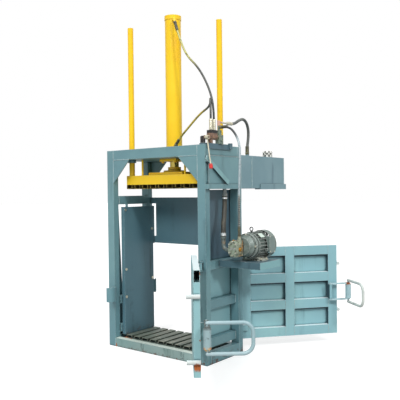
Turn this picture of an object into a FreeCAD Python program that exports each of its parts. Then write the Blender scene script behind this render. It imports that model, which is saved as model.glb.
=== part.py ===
import FreeCAD, Part
import math
import os
import re
import Sketcher

# Vertical recycling baler. Origin: centre of the frame's footprint on the floor.
# +X right, +Y back, +Z up, millimetres. The two doors stand open, the ram is up.

V = FreeCAD.Vector
doc = FreeCAD.newDocument("recycling_baler")
sheet = doc.addObject("Spreadsheet::Sheet", "sizes")

SIZES = [
    ("half_width", 637, "half the frame's width"),
    ("half_depth", 286, "half the frame's depth"),
    ("frame_height", 2000, "floor to the top of the frame"),
    ("post_x", 90, "post width"),
    ("post_y", 65, "post depth"),
    ("wall", 5, "wall of the hollow sections"),
    ("beam_low", 1903, "underside of the front and back top beams"),
    ("back_beam_y", 50, "depth of the back top beam"),
    ("side_beam_low", 1907, "underside of the side top beams"),
    ("plate_top", 1923, "top of the top plate"),
    ("gusset_leg_x", 230, "gusset along the beam"),
    ("gusset_leg_z", 235, "gusset along the post"),
    ("gusset_thick", 10, "gusset plate"),
    ("sill_front_top", 86, "top of the front and back sills"),
    ("sill_side_top", 105, "top of the side sills"),
    ("floor_top", 86, "top of the floor plate"),
    ("floor_thick", 6, "floor plate"),
    ("slat_top", 113, "top of the floor channels"),
    ("channel_wide", 74, "width of a floor or platen channel"),
    ("channel_pitch", 109, "pitch of the channels"),
    ("channel_count", 9, "channels across the floor and the platen"),
    ("channel_wall", 5, "wall of a channel"),
    ("channel_start", 477, "left edge of the first channel, left of centre"),
    ("web_face", 493, "inner face of the side panels"),
    ("panel_flange", 42, "width of the panel flanges"),
    ("panel_thick", 5, "panel sheet"),
    ("panel_front", 196, "front edge of the panels, before centre"),
    ("panel_back", 260, "rear edge of the panels above the door"),
    ("panel_notch_y", 238, "rear edge of the panels beside the rear door"),
    ("panel_notch_z", 1020, "top of the part beside the rear door"),
    ("panel_low", 110, "bottom of the side panels"),
    ("panel_top", 1425, "top of the side panels"),
    ("rail_outer", 597, "outer face of the side rails"),
    ("rail_inner", 535, "inner face of the side rails"),
    ("rail_high", 80, "height of a side rail"),
    ("mid_rail_low", 1450, "underside of the mid rail"),
    ("mid_rail_top", 1537, "top of the mid rail"),
    ("barrel_radius", 80, "cylinder outside radius"),
    ("bore_radius", 70, "cylinder bore radius"),
    ("barrel_low", 1905, "lower end of the cylinder"),
    ("barrel_top", 3327, "upper end of the cylinder"),
    ("ram_y", 35, "cylinder axis behind centre"),
    ("rod_radius", 45, "piston rod radius"),
    ("running_gap", 0.1, "radial play of a sliding or turning fit"),
    ("guide_radius", 28.5, "guide rod radius"),
    ("guide_top", 3250, "top of the guide rods"),
    ("left_guide_x", -427, "left guide rod"),
    ("left_guide_y", -136, "left guide rod"),
    ("right_guide_x", 448, "right guide rod"),
    ("right_guide_y", 206, "right guide rod"),
    ("bush_radius", 42.5, "guide bush radius"),
    ("bush_low", 1875, "lower end of the guide bushes"),
    ("platen_half", 477, "half the platen's width"),
    ("platen_front", 166, "platen front, before centre"),
    ("platen_back", 232, "platen back, behind centre"),
    ("platen_low", 1607, "underside of the platen's channels"),
    ("platen_mid", 1650, "underside of the platen box"),
    ("platen_top", 1742, "top of the platen box"),
    ("raised_top", 1770, "top of the raised centre plate"),
    ("raised_half", 220, "half the raised plate's width"),
    ("disc_radius", 110, "rod end disc radius"),
    ("stop_radius", 10, "stop rod radius"),
    ("stop_x", 279, "stop rods from the centre"),
    ("front_pin_x", 592, "front door pin axis"),
    ("rear_pin_x", 560, "rear door pin axis"),
    ("front_pin_y", -317, "front door pin axis"),
    ("rear_pin_y", 323, "rear door pin axis"),
    ("pin_radius", 10, "door pin radius"),
    ("knuckle_radius", 18, "door knuckle radius"),
    ("knuckle_half", 30, "half the length of a knuckle"),
    ("lug_thick", 16, "hinge lug thickness"),
    ("front_door_gap", 53, "pin axis to the edge of the front door"),
    ("rear_door_gap", 42, "pin axis to the edge of the rear door"),
    ("front_door_width", 994, "front door width"),
    ("rear_door_width", 1018, "rear door width"),
    ("door_top", 1010, "top of the doors"),
    ("front_door_low", 230, "bottom of the front door"),
    ("rear_door_low", 105, "bottom of the rear door"),
    ("door_set", 30, "pin axis to the door's outer face"),
    ("door_deep", 49, "depth of the door's hollow frame"),
    ("door_sheet", 4, "door sheet"),
    ("stile_wide", 95, "door stile"),
    ("rail_wide", 92, "door rail"),
    ("section_wall", 4, "wall of the door's sections"),
    ("door_angle", 130, "opening of both doors as they stand"),
    ("stop_bar_radius", 16.5, "round bar at the free edge"),
    ("front_link_x", 960, "pin axis to the front latch's first barrel"),
    ("rear_link_x", 972, "pin axis to the rear latch's first barrel"),
    ("link_run", 192, "between the barrels of a latch link"),
    ("latch_proud", 44, "latch axes out from the door's face"),
    ("strap_thick", 12, "latch strap"),
    ("strap_low", 460, "lower latch strap, mid height"),
    ("strap_high", 620, "upper latch strap, mid height"),
    ("latch_pin", 8, "latch pin radius"),
    ("latch_barrel", 28, "second barrel radius"),
    ("handle_low", 430, "lower run of the handle"),
    ("handle_high", 650, "upper run of the handle"),
    ("handle_radius", 14, "handle tube radius"),
    ("handle_reach", 325, "reach of the handle"),
    ("handle_bend", 75, "bend of the handle"),
    ("catch_x", -552, "axis of the catches"),
    ("front_catch_radius", 57, "front catch outside radius"),
    ("back_catch_radius", 36, "back catch outside radius"),
    ("catch_wall", 6, "catch wall"),
    ("upper_plate_low", 1641, "bottom of the right upper plate"),
    ("upper_plate_top", 1900, "top of the right upper plate"),
    ("shelf_right", 1050, "outer edge of the motor shelf"),
    ("shelf_front", -36, "front edge of the motor shelf"),
    ("shelf_back", 304, "back edge of the motor shelf"),
    ("shelf_low", 870, "underside of the motor shelf"),
    ("shelf_top", 933, "top of the motor shelf"),
    ("motor_x", 880, "motor axis"),
    ("motor_z", 1075, "motor axis height"),
    ("motor_flange", 114, "motor flange radius"),
    ("motor_barrel", 110, "motor body radius"),
    ("fin_radius", 124, "radius over the fins"),
    ("cover_radius", 132, "radius of the fan cover"),
    ("fin_count", 24, "cooling fins"),
    ("shaft_radius", 14, "motor shaft radius"),
    ("tank_inner", 237, "inner face of the tank"),
    ("tank_front", 286, "front end of the tank"),
    ("tank_seam", 474, "weld seam of the tank"),
    ("tank_back", 1100, "back end of the tank"),
    ("tank_low", 1600, "bottom of the tank"),
    ("tank_top", 1925, "top of the tank"),
    ("tank_wall", 4, "tank sheet"),
    ("cap_x", 557, "filler cap axis"),
    ("cap_y", 900, "filler cap axis"),
    ("cap_radius", 50, "filler cap radius"),
    ("cap_tall", 68, "filler cap height"),
    ("neck_radius", 34, "filler neck radius"),
    ("lever_x", 656, "valve lever hub"),
    ("lever_y", -274, "valve lever axis"),
    ("lever_z", 2062, "valve lever axis height"),
    ("thin_hose", 10, "radius of the cylinder and pressure hoses"),
    ("return_radius", 14, "return hose radius"),
    ("suction_radius", 22, "suction hose radius"),
]

ROUTES = {
    "top_hose": ("thin_hose", [
        (107, -53, 3222), (160, -62, 3085), (262, -80, 2885), (430, -109, 2745),
        (560, -131, 2560), (635, -144, 2370), (635, -144, 2228)]),
    "bottom_hose": ("thin_hose", [
        (638, -195, 2228), (638, -195, 2380), (563, -100, 2450), (488, -5, 2380),
        (385, -25, 2322), (250, -50, 2188), (150, -50, 2104), (95, -42, 2043)]),
    "pressure_hose": ("thin_hose", [
        (676, -75, 2165), (745, -75, 2165), (838, -108, 2106), (910, -128, 1990),
        (905, -128, 1790), (886, -114, 1580), (872, -98, 1370), (872, -98, 1190)]),
    "return_hose": ("return_radius", [
        (640, 91, 2212), (640, 165, 2212), (626, 275, 2262), (612, 365, 2284),
        (600, 445, 2254), (592, 488, 2180), (592, 482, 2091), (595, 458, 2015), (595, 458, 1960)]),
    "suction_hose": ("suction_radius", [
        (664, -28, 1530), (664, -28, 1445), (690, -78, 1340), (715, -125, 1240),
        (715, -125, 1165)]),
}

for row, (alias, value, note) in enumerate(SIZES, 1):
    sheet.set(f"A{row}", note)
    sheet.set(f"B{row}", str(value))
    sheet.setAlias(f"B{row}", alias)
route_cells = {}
row = len(SIZES) + 1
for label, (_, points) in ROUTES.items():
    route_cells[label] = []
    for point in points:
        row += 1
        sheet.set(f"A{row}", f"route of {label}".replace("_", " "))
        for column, value in zip("BCD", point):
            sheet.set(f"{column}{row}", str(value))
        route_cells[label].append(row)
work = doc.addObject("Spreadsheet::Sheet", "worked_sizes")
doc.recompute()

NAMES = re.compile(r"\b(" + "|".join(sorted((s[0] for s in SIZES), key=len, reverse=True)) + r")\b")
values = {}
parts = {}


def sized(text):
    """The text of an expression, with each named size taken from the sheet."""
    return NAMES.sub(r"sizes.\1", str(text))


def size(text):
    """The number that an expression of named sizes comes to."""
    text = str(text)
    if text not in values:
        cell = f"A{len(values) + 1}"
        work.set(cell, "=" + sized(text))
        work.recompute()
        values[text] = float(work.get(cell))
    return values[text]


def keep(item, label):
    """File an object under its label as one of the sub-parts."""
    item.Label = label
    parts[label] = item
    return item


def bind(item, base):
    """Bind an object's position to three expressions."""
    for axis, text in zip("xyz", base):
        item.setExpression(".Placement.Base." + axis, sized(text))
    return item


def block(name, x, y, z):
    """A block between two ends on each axis."""
    item = doc.addObject("Part::Box", name)
    for side, (low, high) in zip(("Length", "Width", "Height"), (x, y, z)):
        item.setExpression(side, sized(f"({high}) - ({low})"))
    return bind(item, (x[0], y[0], z[0]))


TURNS = {"x": FreeCAD.Rotation(V(0, 1, 0), 90), "y": FreeCAD.Rotation(V(1, 0, 0), -90),
         "z": FreeCAD.Rotation()}


def rod(name, radius, length, base, axis="z"):
    """A round bar from its base along one axis."""
    item = doc.addObject("Part::Cylinder", name)
    item.setExpression("Radius", sized(radius))
    item.setExpression("Height", sized(length))
    item.Placement = FreeCAD.Placement(V(), TURNS[axis])
    return bind(item, base)


def join(name, items):
    """One object of several that touch or overlap."""
    item = doc.addObject("Part::MultiFuse", name)
    item.Shapes = items
    item.Refine = True
    return item


def cut(name, base, tools):
    """An object less one or more others."""
    tool = tools[0] if len(tools) == 1 else join(name + "_tools", tools)
    item = doc.addObject("Part::Cut", name)
    item.Base = base
    item.Tool = tool
    return item


def group(name, items):
    """Separate solids under one label."""
    item = doc.addObject("Part::Compound", name)
    item.Links = items
    return item


def tube(name, x, y, z, along, ends=(0, 0)):
    """A hollow section along one axis; ends 1 leaves a closed end of one wall."""
    inner = []
    for axis, (low, high) in zip("xyz", (x, y, z)):
        if axis == along:
            inner.append((f"({low}) + {ends[0]} * wall - {1 - ends[0]}",
                          f"({high}) - {ends[1]} * wall + {1 - ends[1]}"))
        else:
            inner.append((f"({low}) + wall", f"({high}) - wall"))
    return cut(name, block(name + "_outer", x, y, z), [block(name + "_inner", *inner)])


def side(span, sign):
    """A span, or its mirror image for sign -1."""
    low, high = span
    return (low, high) if sign > 0 else (f"-({high})", f"-({low})")


def shaped(label, shape, placement=None):
    """A sub-part from a worked shape."""
    item = doc.addObject("Part::Feature", label)
    item.Shape = shape
    if placement:
        item.Placement = placement
    return keep(item, label)


def bar_between(start, end, radius):
    """A round bar between two points, as a shape."""
    start, end = V(*start), V(*end)
    return Part.makeCylinder(radius, (end - start).Length, start, end - start)


def solid_block(x, y, z):
    """A block between two numbers on each axis, as a shape."""
    return Part.makeBox(x[1] - x[0], y[1] - y[0], z[1] - z[0], V(x[0], y[0], z[0]))


def united(shapes):
    """One shape of several."""
    return shapes[0].multiFuse(shapes[1:]).removeSplitter()


def body(label):
    """An empty body of its own."""
    return keep(doc.addObject("PartDesign::Body", label), label)


def plane(item, role):
    """One of a body's own origin planes or axes."""
    return next(f for f in item.Origin.OriginFeatures if f.Role == role)


def sketch_on(item, name, role, offset="0"):
    """A sketch on one of the body's own planes, moved along its normal by offset."""
    sketch = item.newObject("Sketcher::SketchObject", name)
    sketch.AttachmentSupport = [(plane(item, role), "")]
    sketch.MapMode = "FlatFace"
    if offset != "0":
        sketch.setExpression(".AttachmentOffset.Base.z", sized(offset))
    return sketch


def bind_point(sketch, index, corner, x, y):
    """Bind a point of a sketch to two expressions."""
    for kind, text, axis in (("DistanceX", x, -2), ("DistanceY", y, -1)):
        value = size(text)
        if abs(value) < 1e-9:
            sketch.addConstraint(Sketcher.Constraint("PointOnObject", index, corner, axis))
            continue
        ends = (-1, 1, index, corner) if value > 0 else (index, corner, -1, 1)
        number = sketch.addConstraint(Sketcher.Constraint(kind, *ends, abs(value)))
        sketch.setExpression(f"Constraints[{number}]", sized(text if value > 0 else f"-({text})"))


def outline(sketch, points):
    """A closed outline through points, each bound to its expressions."""
    first = sketch.GeometryCount
    count = len(points)
    spots = [V(size(x), size(y), 0) for x, y in points]
    for i in range(count):
        sketch.addGeometry(Part.LineSegment(spots[i], spots[(i + 1) % count]))
    for i in range(count):
        sketch.addConstraint(Sketcher.Constraint(
            "Coincident", first + i, 2, first + (i + 1) % count, 1))
    for i, (x, y) in enumerate(points):
        bind_point(sketch, first + i, 1, x, y)


def rectangle(sketch, x, y):
    """A rectangle between two ends on each axis of the sketch."""
    outline(sketch, [(x[0], y[0]), (x[1], y[0]), (x[1], y[1]), (x[0], y[1])])


def circle(sketch, x, y, radius):
    """A circle bound to its centre and radius."""
    index = sketch.addGeometry(Part.Circle(V(size(x), size(y), 0), V(0, 0, 1), size(radius)))
    bind_point(sketch, index, 3, x, y)
    number = sketch.addConstraint(Sketcher.Constraint("Radius", index, size(radius)))
    sketch.setExpression(f"Constraints[{number}]", sized(radius))


def pad(item, sketch, length, back=False):
    """Material along the sketch's normal, or against it."""
    made = item.newObject("PartDesign::Pad", sketch.Name + "_pad")
    made.Profile = sketch
    made.Reversed = back
    made.setExpression("Length", sized(length))
    return made


def pocket(item, sketch, length, back=False):
    """Material taken away against the sketch's normal, or along it."""
    made = item.newObject("PartDesign::Pocket", sketch.Name + "_pocket")
    made.Profile = sketch
    made.Reversed = back
    made.setExpression("Length", sized(length))
    return made


def turn(item, sketch):
    """A full turn of the sketch about its upright axis."""
    made = item.newObject("PartDesign::Revolution", sketch.Name + "_turn")
    made.Profile = sketch
    made.ReferenceAxis = (sketch, ["V_Axis"])
    made.Angle = 360
    return made


def around(item, feature, role, count):
    """Repeats of a feature about one of the body's axes."""
    made = item.newObject("PartDesign::PolarPattern", feature.Name + "_ring")
    made.Originals = [feature]
    made.Axis = (plane(item, role), [""])
    made.Angle = 360
    made.setExpression("Occurrences", sized(count))
    item.Tip = made
    return made


# posts, the right ones with the doors' hinge lugs and pins
HINGES = {"front": ("front_pin_x", "front_pin_y", ("front_door_low + 110", "door_top - 110")),
          "rear": ("rear_pin_x", "rear_pin_y", ("rear_door_low + 110", "door_top - 110"))}


def hinge_lugs(name, sign, pin_x, pin_y, heights):
    """Two lugs and a pin at each hinge of a post."""
    pieces = []
    for number, height in enumerate(heights):
        for end, low in (("low", f"{height} - knuckle_half - lug_thick"),
                         ("high", f"{height} + knuckle_half")):
            y = (f"{pin_y} - 14", "-half_depth") if sign < 0 else ("half_depth", f"{pin_y} + 14")
            pieces.append(block(f"{name}_lug_{end}_{number}", (f"{pin_x} - 14", f"{pin_x} + 14"), y,
                                (low, f"{low} + lug_thick")))
        pieces.append(rod(f"{name}_pin_{number}", "pin_radius", "2 * (knuckle_half + lug_thick + 4)",
                          (pin_x, pin_y, f"{height} - knuckle_half - lug_thick - 4")))
    return pieces


def gap_strip():
    """A tapered strip behind the front left post, which closes the gap beside the panel lower down."""
    outer, post_back = -size("rail_outer"), size("post_y - half_depth")
    ring = [V(outer, y, z) for y, z in ((post_back, size("sill_side_top")), (-112, size("sill_side_top")),
                                        (-174, 1430), (post_back, 1430))]
    strip = doc.addObject("Part::Feature", "gap_strip")
    strip.Shape = Part.Face(Part.makePolygon(ring + ring[:1])).extrude(V(-5, 0, 0))
    return strip


for end, sy in (("front", -1), ("back", 1)):
    for hand, sx in (("left", -1), ("right", 1)):
        label = f"post_{end}_{hand}"
        x = side(("half_width - post_x", "half_width"), sx)
        y = side(("half_depth - post_y", "half_depth"), sy)
        if hand == "left":
            post = tube(label + "_tube" if sy < 0 else label, x, y, ("0", "frame_height"), "z", (0, 1))
            keep(join(label, [post, gap_strip()]) if sy < 0 else post, label)
            continue
        hollow = tube(label + "_tube", x, y, ("0", "frame_height"), "z", (0, 1))
        keep(join(label, [hollow] + hinge_lugs(label, sy, *HINGES["front" if sy < 0 else "rear"])), label)

# top beams, the front and back ones with their corner gussets
for end, sy in (("front", -1), ("back", 1)):
    label = f"top_{end}_beam"
    item = body(label)
    item.setExpression(".Placement.Base.y", sized("-half_depth" if sy < 0 else "half_depth"))
    face = sketch_on(item, f"{label}_face", "XZ_Plane")
    inside = "(half_width - post_x)"
    depth = "post_y" if sy < 0 else "back_beam_y"
    rectangle(face, (f"-{inside}", inside), ("beam_low", "frame_height"))
    pad(item, face, depth, back=sy < 0)
    hollow = sketch_on(item, f"{label}_hollow", "YZ_Plane", f"-{inside} + wall")
    rectangle(hollow, side(("wall", f"{depth} - wall"), -sy), ("beam_low + wall", "frame_height - wall"))
    pocket(item, hollow, f"2 * ({inside} - wall)", back=True)
    corners = sketch_on(item, f"{label}_corners", "XZ_Plane")
    for sx in (-1, 1):
        edge = f"{sx} * {inside}"
        reach = f"{sx} * ({inside} - gusset_leg_x)"
        outline(corners, [(edge, "beam_low"), (reach, "beam_low"), (edge, "beam_low - gusset_leg_z")])
    pad(item, corners, "gusset_thick", back=sy < 0)
keep(group("top_side_beams", [
    tube(f"top_{hand}_beam", side(("half_width - post_y", "half_width"), sx),
         ("-(half_depth - post_y)", "half_depth - post_y"), ("side_beam_low", "frame_height"), "y")
    for hand, sx in (("left", -1), ("right", 1))]), "top_side_beams")

# top plate with the guide bushes, all bored through
plate = block("top_plate_sheet", ("-(half_width - post_y)", "half_width - post_y"),
              ("-(half_depth - post_y)", "half_depth - back_beam_y"), ("beam_low", "plate_top"))
bushes = [rod(f"bush_{hand}", "bush_radius", "beam_low - bush_low",
              (f"{hand}_guide_x", f"{hand}_guide_y", "bush_low")) for hand in ("left", "right")]
bores = [rod(f"bore_{hand}", "guide_radius + running_gap", "200",
             (f"{hand}_guide_x", f"{hand}_guide_y", "1800")) for hand in ("left", "right")]
bores.append(rod("bore_middle", "barrel_radius + 1", "200", ("0", "ram_y", "1800")))
corners = []
for sx in (-1, 1):
    for sy in (-1, 1):
        corners.append(block(f"plate_corner_{sx + 1}_{sy + 1}",
                             side(("half_width - post_x", "half_width"), sx),
                             side(("half_depth - post_y", "half_depth"), sy), ("1800", "frame_height")))
for sx in (-1, 1):
    corners.append(block(f"plate_edge_{sx + 1}", side(("half_width - post_y", "half_width"), sx),
                         ("-half_depth", "half_depth"), ("side_beam_low", "frame_height")))
keep(cut("top_plate", join("top_plate_whole", [plate] + bushes), bores + corners), "top_plate")

# side panels: a folded sheet each, on rails between the posts
for hand, sx in (("left", -1), ("right", 1)):
    label = f"{hand}_side_panel"
    item = body(label)
    low = "panel_low" if sx < 0 else "140"
    item.setExpression(".Placement.Base.z", sized(low))
    plan = sketch_on(item, f"{label}_plan", "XY_Plane")
    near, far, mid = "-web_face", "-(web_face + panel_flange)", "-(web_face + panel_thick)"
    if sx > 0:
        near, far, mid = "web_face + panel_flange", "web_face", "web_face + panel_flange - panel_thick"
    outline(plan, [(near, "-panel_front"), (far, "-panel_front"), (far, "-panel_front + panel_thick"),
                   (mid, "-panel_front + panel_thick"), (mid, "panel_back - panel_thick"),
                   (far, "panel_back - panel_thick"), (far, "panel_back"), (near, "panel_back")])
    pad(item, plan, f"panel_top - {low}")
    notch = sketch_on(item, f"{label}_notch", "XY_Plane")
    rectangle(notch, side(("web_face - 5", "web_face + panel_flange + 5"), sx),
              ("panel_notch_y", "panel_back + 5"))
    pocket(item, notch, f"panel_notch_z - {low}", back=True)
    if sx > 0:
        upper = sketch_on(item, f"{label}_upper", "XY_Plane", f"panel_top - {low} - 1")
        rectangle(upper, (mid, near), ("-panel_front", "250"))
        pad(item, upper, "166")

rails = []
for hand, sx in (("left", -1), ("right", 1)):
    for number, low in enumerate(("140", "430") if sx < 0 else ("140", "491", "853")):
        rails.append(tube(f"rail_{hand}_{number}", side(("rail_inner", "rail_outer"), sx),
                          ("-(half_depth - post_y)", "half_depth - post_y"),
                          (low, f"{low} + rail_high"), "y"))
keep(group("side_rails", rails), "side_rails")

mid_rail = tube("mid_rail_tube", side(("half_width - post_x", "rail_outer"), -1),
                ("-(half_depth - post_y)", "half_depth - post_y"), ("mid_rail_low", "mid_rail_top"), "y")
hangers = [block(f"hanger_{n}", ("-(half_width - post_x) - 5", "-web_face"), (y, f"{y} + 30"),
                 ("mid_rail_low", "mid_rail_low + 5")) for n, y in enumerate(("-170", "140"))]
legs = [block(f"hanger_leg_{n}", ("-web_face - 5", "-web_face"), (y, f"{y} + 30"),
              ("panel_top", "mid_rail_low + 5")) for n, y in enumerate(("-170", "140"))]
keep(join("left_mid_rail", [mid_rail] + hangers + legs), "left_mid_rail")

# back panel with the tabs that reach the posts
item = body("back_upper_panel")
item.setExpression(".Placement.Base.y", sized("264"))
face = sketch_on(item, "back_panel_face", "XZ_Plane")
outline(face, [("-465", "1100"), ("-490", "1100"), ("-490", "1025"), ("470", "1025"), ("470", "1450"),
               ("half_width - post_x", "1450"), ("half_width - post_x", "1515"),
               ("-(half_width - post_x)", "1515"), ("-(half_width - post_x)", "1450"), ("-465", "1450")])
pad(item, face, "8")

# upper plate on the right side, its folded lower edge, and the flat brace
upper = block("upper_sheet", ("half_width", "half_width + 15"), ("-251", "237"),
              ("upper_plate_low", "upper_plate_top"))
lower = block("upper_fold", ("half_width", "half_width + 35"), ("-half_depth", "234"),
              ("1596", "upper_plate_low"))
keep(join("right_upper_plate", [upper, lower]), "right_upper_plate")
brace_top, brace_end = V(655, -296, 1884), V(677, 14, 1652)
run = brace_end - brace_top
across = V(0, run.z, -run.y).normalize() * 23
thick = run.cross(across).normalize() * 8
ring = [brace_top + across, brace_end + across, brace_end - across, brace_top - across]
flat = Part.Face(Part.makePolygon(ring + ring[:1])).extrude(thick if thick.x > 0 else -thick)
weld = solid_block((size("half_width"), 656), (-285, -262), (1842, 1872))
shaped("diagonal_brace", united([flat, weld]))

# sills and floor
for end, sy in (("front", -1), ("back", 1)):
    label = f"{end}_sill"
    beam = tube(label + "_tube" if sy < 0 else label,
                ("-(half_width - post_x)", "half_width - post_x"),
                side(("half_depth - post_y", "half_depth"), sy), ("0", "sill_front_top"), "x")
    if sy > 0:
        keep(beam, label)
sill_rings = []
for number, x in enumerate(("-175", "340")):
    for hand, dx in (("a", "-14"), ("b", "14")):
        sill_rings.append(rod(f"ring_{number}_{hand}", "4", "28", (f"{x} + {dx}", "-half_depth - 3", "42")))
    for end, z in (("low", "42"), ("high", "70")):
        arch = doc.addObject("Part::Torus", f"ring_{number}_{end}")
        arch.setExpression("Radius1", "14")
        arch.setExpression("Radius2", "4")
        arch.Angle3 = 180
        spin = FreeCAD.Rotation(V(1, 0, 0), 90 if end == "high" else -90)
        arch.Placement = FreeCAD.Placement(V(), spin)
        sill_rings.append(bind(arch, (x, "-half_depth - 3", z)))
keep(join("front_sill", [doc.getObject("front_sill_tube")] + sill_rings), "front_sill")
keep(group("side_sills", [
    tube(f"{hand}_sill", side(("half_width - post_y", "half_width"), sx),
         ("-(half_depth - post_y)", "half_depth - post_y"), ("0", "sill_side_top"), "y")
    for hand, sx in (("left", -1), ("right", 1))]), "side_sills")
deck = block("deck", ("-web_face", "web_face"), ("-(half_depth - post_y)", "half_depth - post_y"),
             ("floor_top - floor_thick", "floor_top"))
bearers = [tube(f"bearer_{n}", ("-web_face", "web_face"), (f"{y} - 40", f"{y} + 40"),
                ("0", "floor_top - floor_thick"), "x") for n, y in enumerate(("-150", "0", "150"))]
keep(join("floor_plate", [deck] + bearers), "floor_plate")


def channels(label, base_z, tall, flip, front, back):
    """A row of channels from front to back; flip turns the open side down."""
    item = body(label)
    item.Placement = FreeCAD.Placement(V(), FreeCAD.Rotation())
    bind(item, ("-channel_start", back, base_z))
    section = sketch_on(item, f"{label}_section", "XZ_Plane")
    if flip:
        outline(section, [("0", "0"), ("channel_wall", "0"), ("channel_wall", f"{tall} - channel_wall"),
                          ("channel_wide - channel_wall", f"{tall} - channel_wall"),
                          ("channel_wide - channel_wall", "0"), ("channel_wide", "0"),
                          ("channel_wide", tall), ("0", tall)])
    else:
        outline(section, [("0", "0"), ("channel_wide", "0"), ("channel_wide", tall),
                          ("channel_wide - channel_wall", tall),
                          ("channel_wide - channel_wall", "channel_wall"),
                          ("channel_wall", "channel_wall"), ("channel_wall", tall), ("0", tall)])
    return item, pad(item, section, f"({back}) - ({front})")


def repeated(label, one):
    """Nine copies of one channel's shape at the pitch, as separate solids."""
    copies = []
    for number in range(int(size("channel_count"))):
        copy = one.Shape.copy()
        copy.translate(V(number * size("channel_pitch"), 0, 0))
        copies.append(copy)
    return shaped(label, Part.makeCompound(copies))


for label, base_z, tall, flip, front, back in (
        ("floor_slats", "floor_top", "(slat_top - floor_top)", True, "-panel_front", "panel_notch_y"),
        ("platen_slats", "platen_low", "(platen_mid - platen_low)", False, "-platen_front", "platen_back")):
    one, _ = channels(label + "_one", base_z, tall, flip, front, back)
    del parts[label + "_one"]
    doc.recompute()
    repeated(label, one)

# hydraulic cylinder, its flange, the piston rod and the guide rods
barrel = rod("barrel_outer", "barrel_radius", "barrel_top - barrel_low", ("0", "ram_y", "barrel_low"))
hollow = rod("barrel_inner", "bore_radius", "barrel_top - barrel_low - 29", ("0", "ram_y", "barrel_low - 1"))
shell = cut("barrel_shell", barrel, [hollow])
doc.recompute()
radial = V(0.715, -0.7, 0)
axis_point = V(0, size("ram_y"), 0)
route = {label: [V(*(float(sheet.get(f"{c}{r}")) for c in "BCD")) for r in rows]
         for label, rows in route_cells.items()}
top_start = route["top_hose"][0]
top_run = (route["top_hose"][1] - top_start).normalize()
knee = top_start - top_run * 50
low_end = route["bottom_hose"][-1]
low_run = (low_end - route["bottom_hose"][-2]).normalize()
boss_top = axis_point + radial * 74 + V(0, 0, knee.z)
fittings = [bar_between(boss_top, knee + radial * 2, 17), bar_between(knee, top_start, 14),
            Part.makeSphere(17, knee), bar_between(low_end, low_end + low_run * 80, 14)]
cap_ring = Part.makeCylinder(84, 40, V(0, size("ram_y"), size("barrel_top") - 40))
trimmed = united([s.cut(hollow.Shape) for s in fittings] + [shell.Shape, cap_ring])
shaped("cylinder_barrel", trimmed.cut(hollow.Shape))
flange = block("flange_block", ("-105", "105"), ("ram_y - 105", "ram_y + 105"), ("beam_low - 25", "barrel_low"))
seat = block("flange_seat", ("-115", "115"), ("ram_y - 115", "ram_y + 115"), ("beam_low", "barrel_low + 1"))
spigot = rod("flange_spigot", "barrel_radius", "2", ("0", "ram_y", "beam_low"))
heads = [rod(f"flange_bolt_{i}", "14", "16", (f"{x}", f"ram_y + {y}", "beam_low - 41"))
         for i, (x, y) in enumerate(((-82, -82), (82, -82), (-82, 82), (82, 82)))]
rod_bore = rod("rod_bore", "rod_radius + running_gap", "200", ("0", "ram_y", "1800"))
pressed = cut("flange_flat", flange, [seat])
keep(cut("cylinder_flange", join("flange_whole", [pressed, spigot] + heads), [rod_bore]), "cylinder_flange")
keep(join("piston_rod", [
    rod("rod_bar", "rod_radius", "3230 - raised_top", ("0", "ram_y", "raised_top")),
    rod("piston", "bore_radius - running_gap", "70", ("0", "ram_y", "3220")),
    rod("rod_disc", "disc_radius", "18", ("0", "ram_y", "raised_top")),
    rod("rod_collar", "66", "34", ("0", "ram_y", "raised_top + 18"))]), "piston_rod")
keep(group("guide_rods", [
    rod(f"guide_{hand}", "guide_radius", "guide_top - platen_top",
        (f"{hand}_guide_x", f"{hand}_guide_y", "platen_top")) for hand in ("left", "right")]), "guide_rods")

# platen: an open box, its top plate with the stop rods, and the channels beneath
outer = block("platen_outer", ("-platen_half", "platen_half"), ("-platen_front", "platen_back"),
              ("platen_mid", "platen_top - 12"))
inner = block("platen_inner", ("-platen_half + 10", "platen_half - 10"),
              ("-platen_front + 10", "platen_back - 10"), ("platen_mid + 10", "platen_top"))
keep(cut("platen_box", outer, [inner]), "platen_box")
keep(join("platen_top_plate", [
    block("platen_lid", ("-platen_half", "platen_half"), ("-platen_front", "platen_back"),
          ("platen_top - 12", "platen_top")),
    block("platen_raised", ("-raised_half", "raised_half"), ("-110", "150"), ("platen_top", "raised_top")),
    rod("stop_left", "stop_radius", "158", ("-stop_x", "-136", "platen_top")),
    rod("stop_right", "stop_radius", "158", ("stop_x", "-136", "platen_top"))]), "platen_top_plate")

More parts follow.
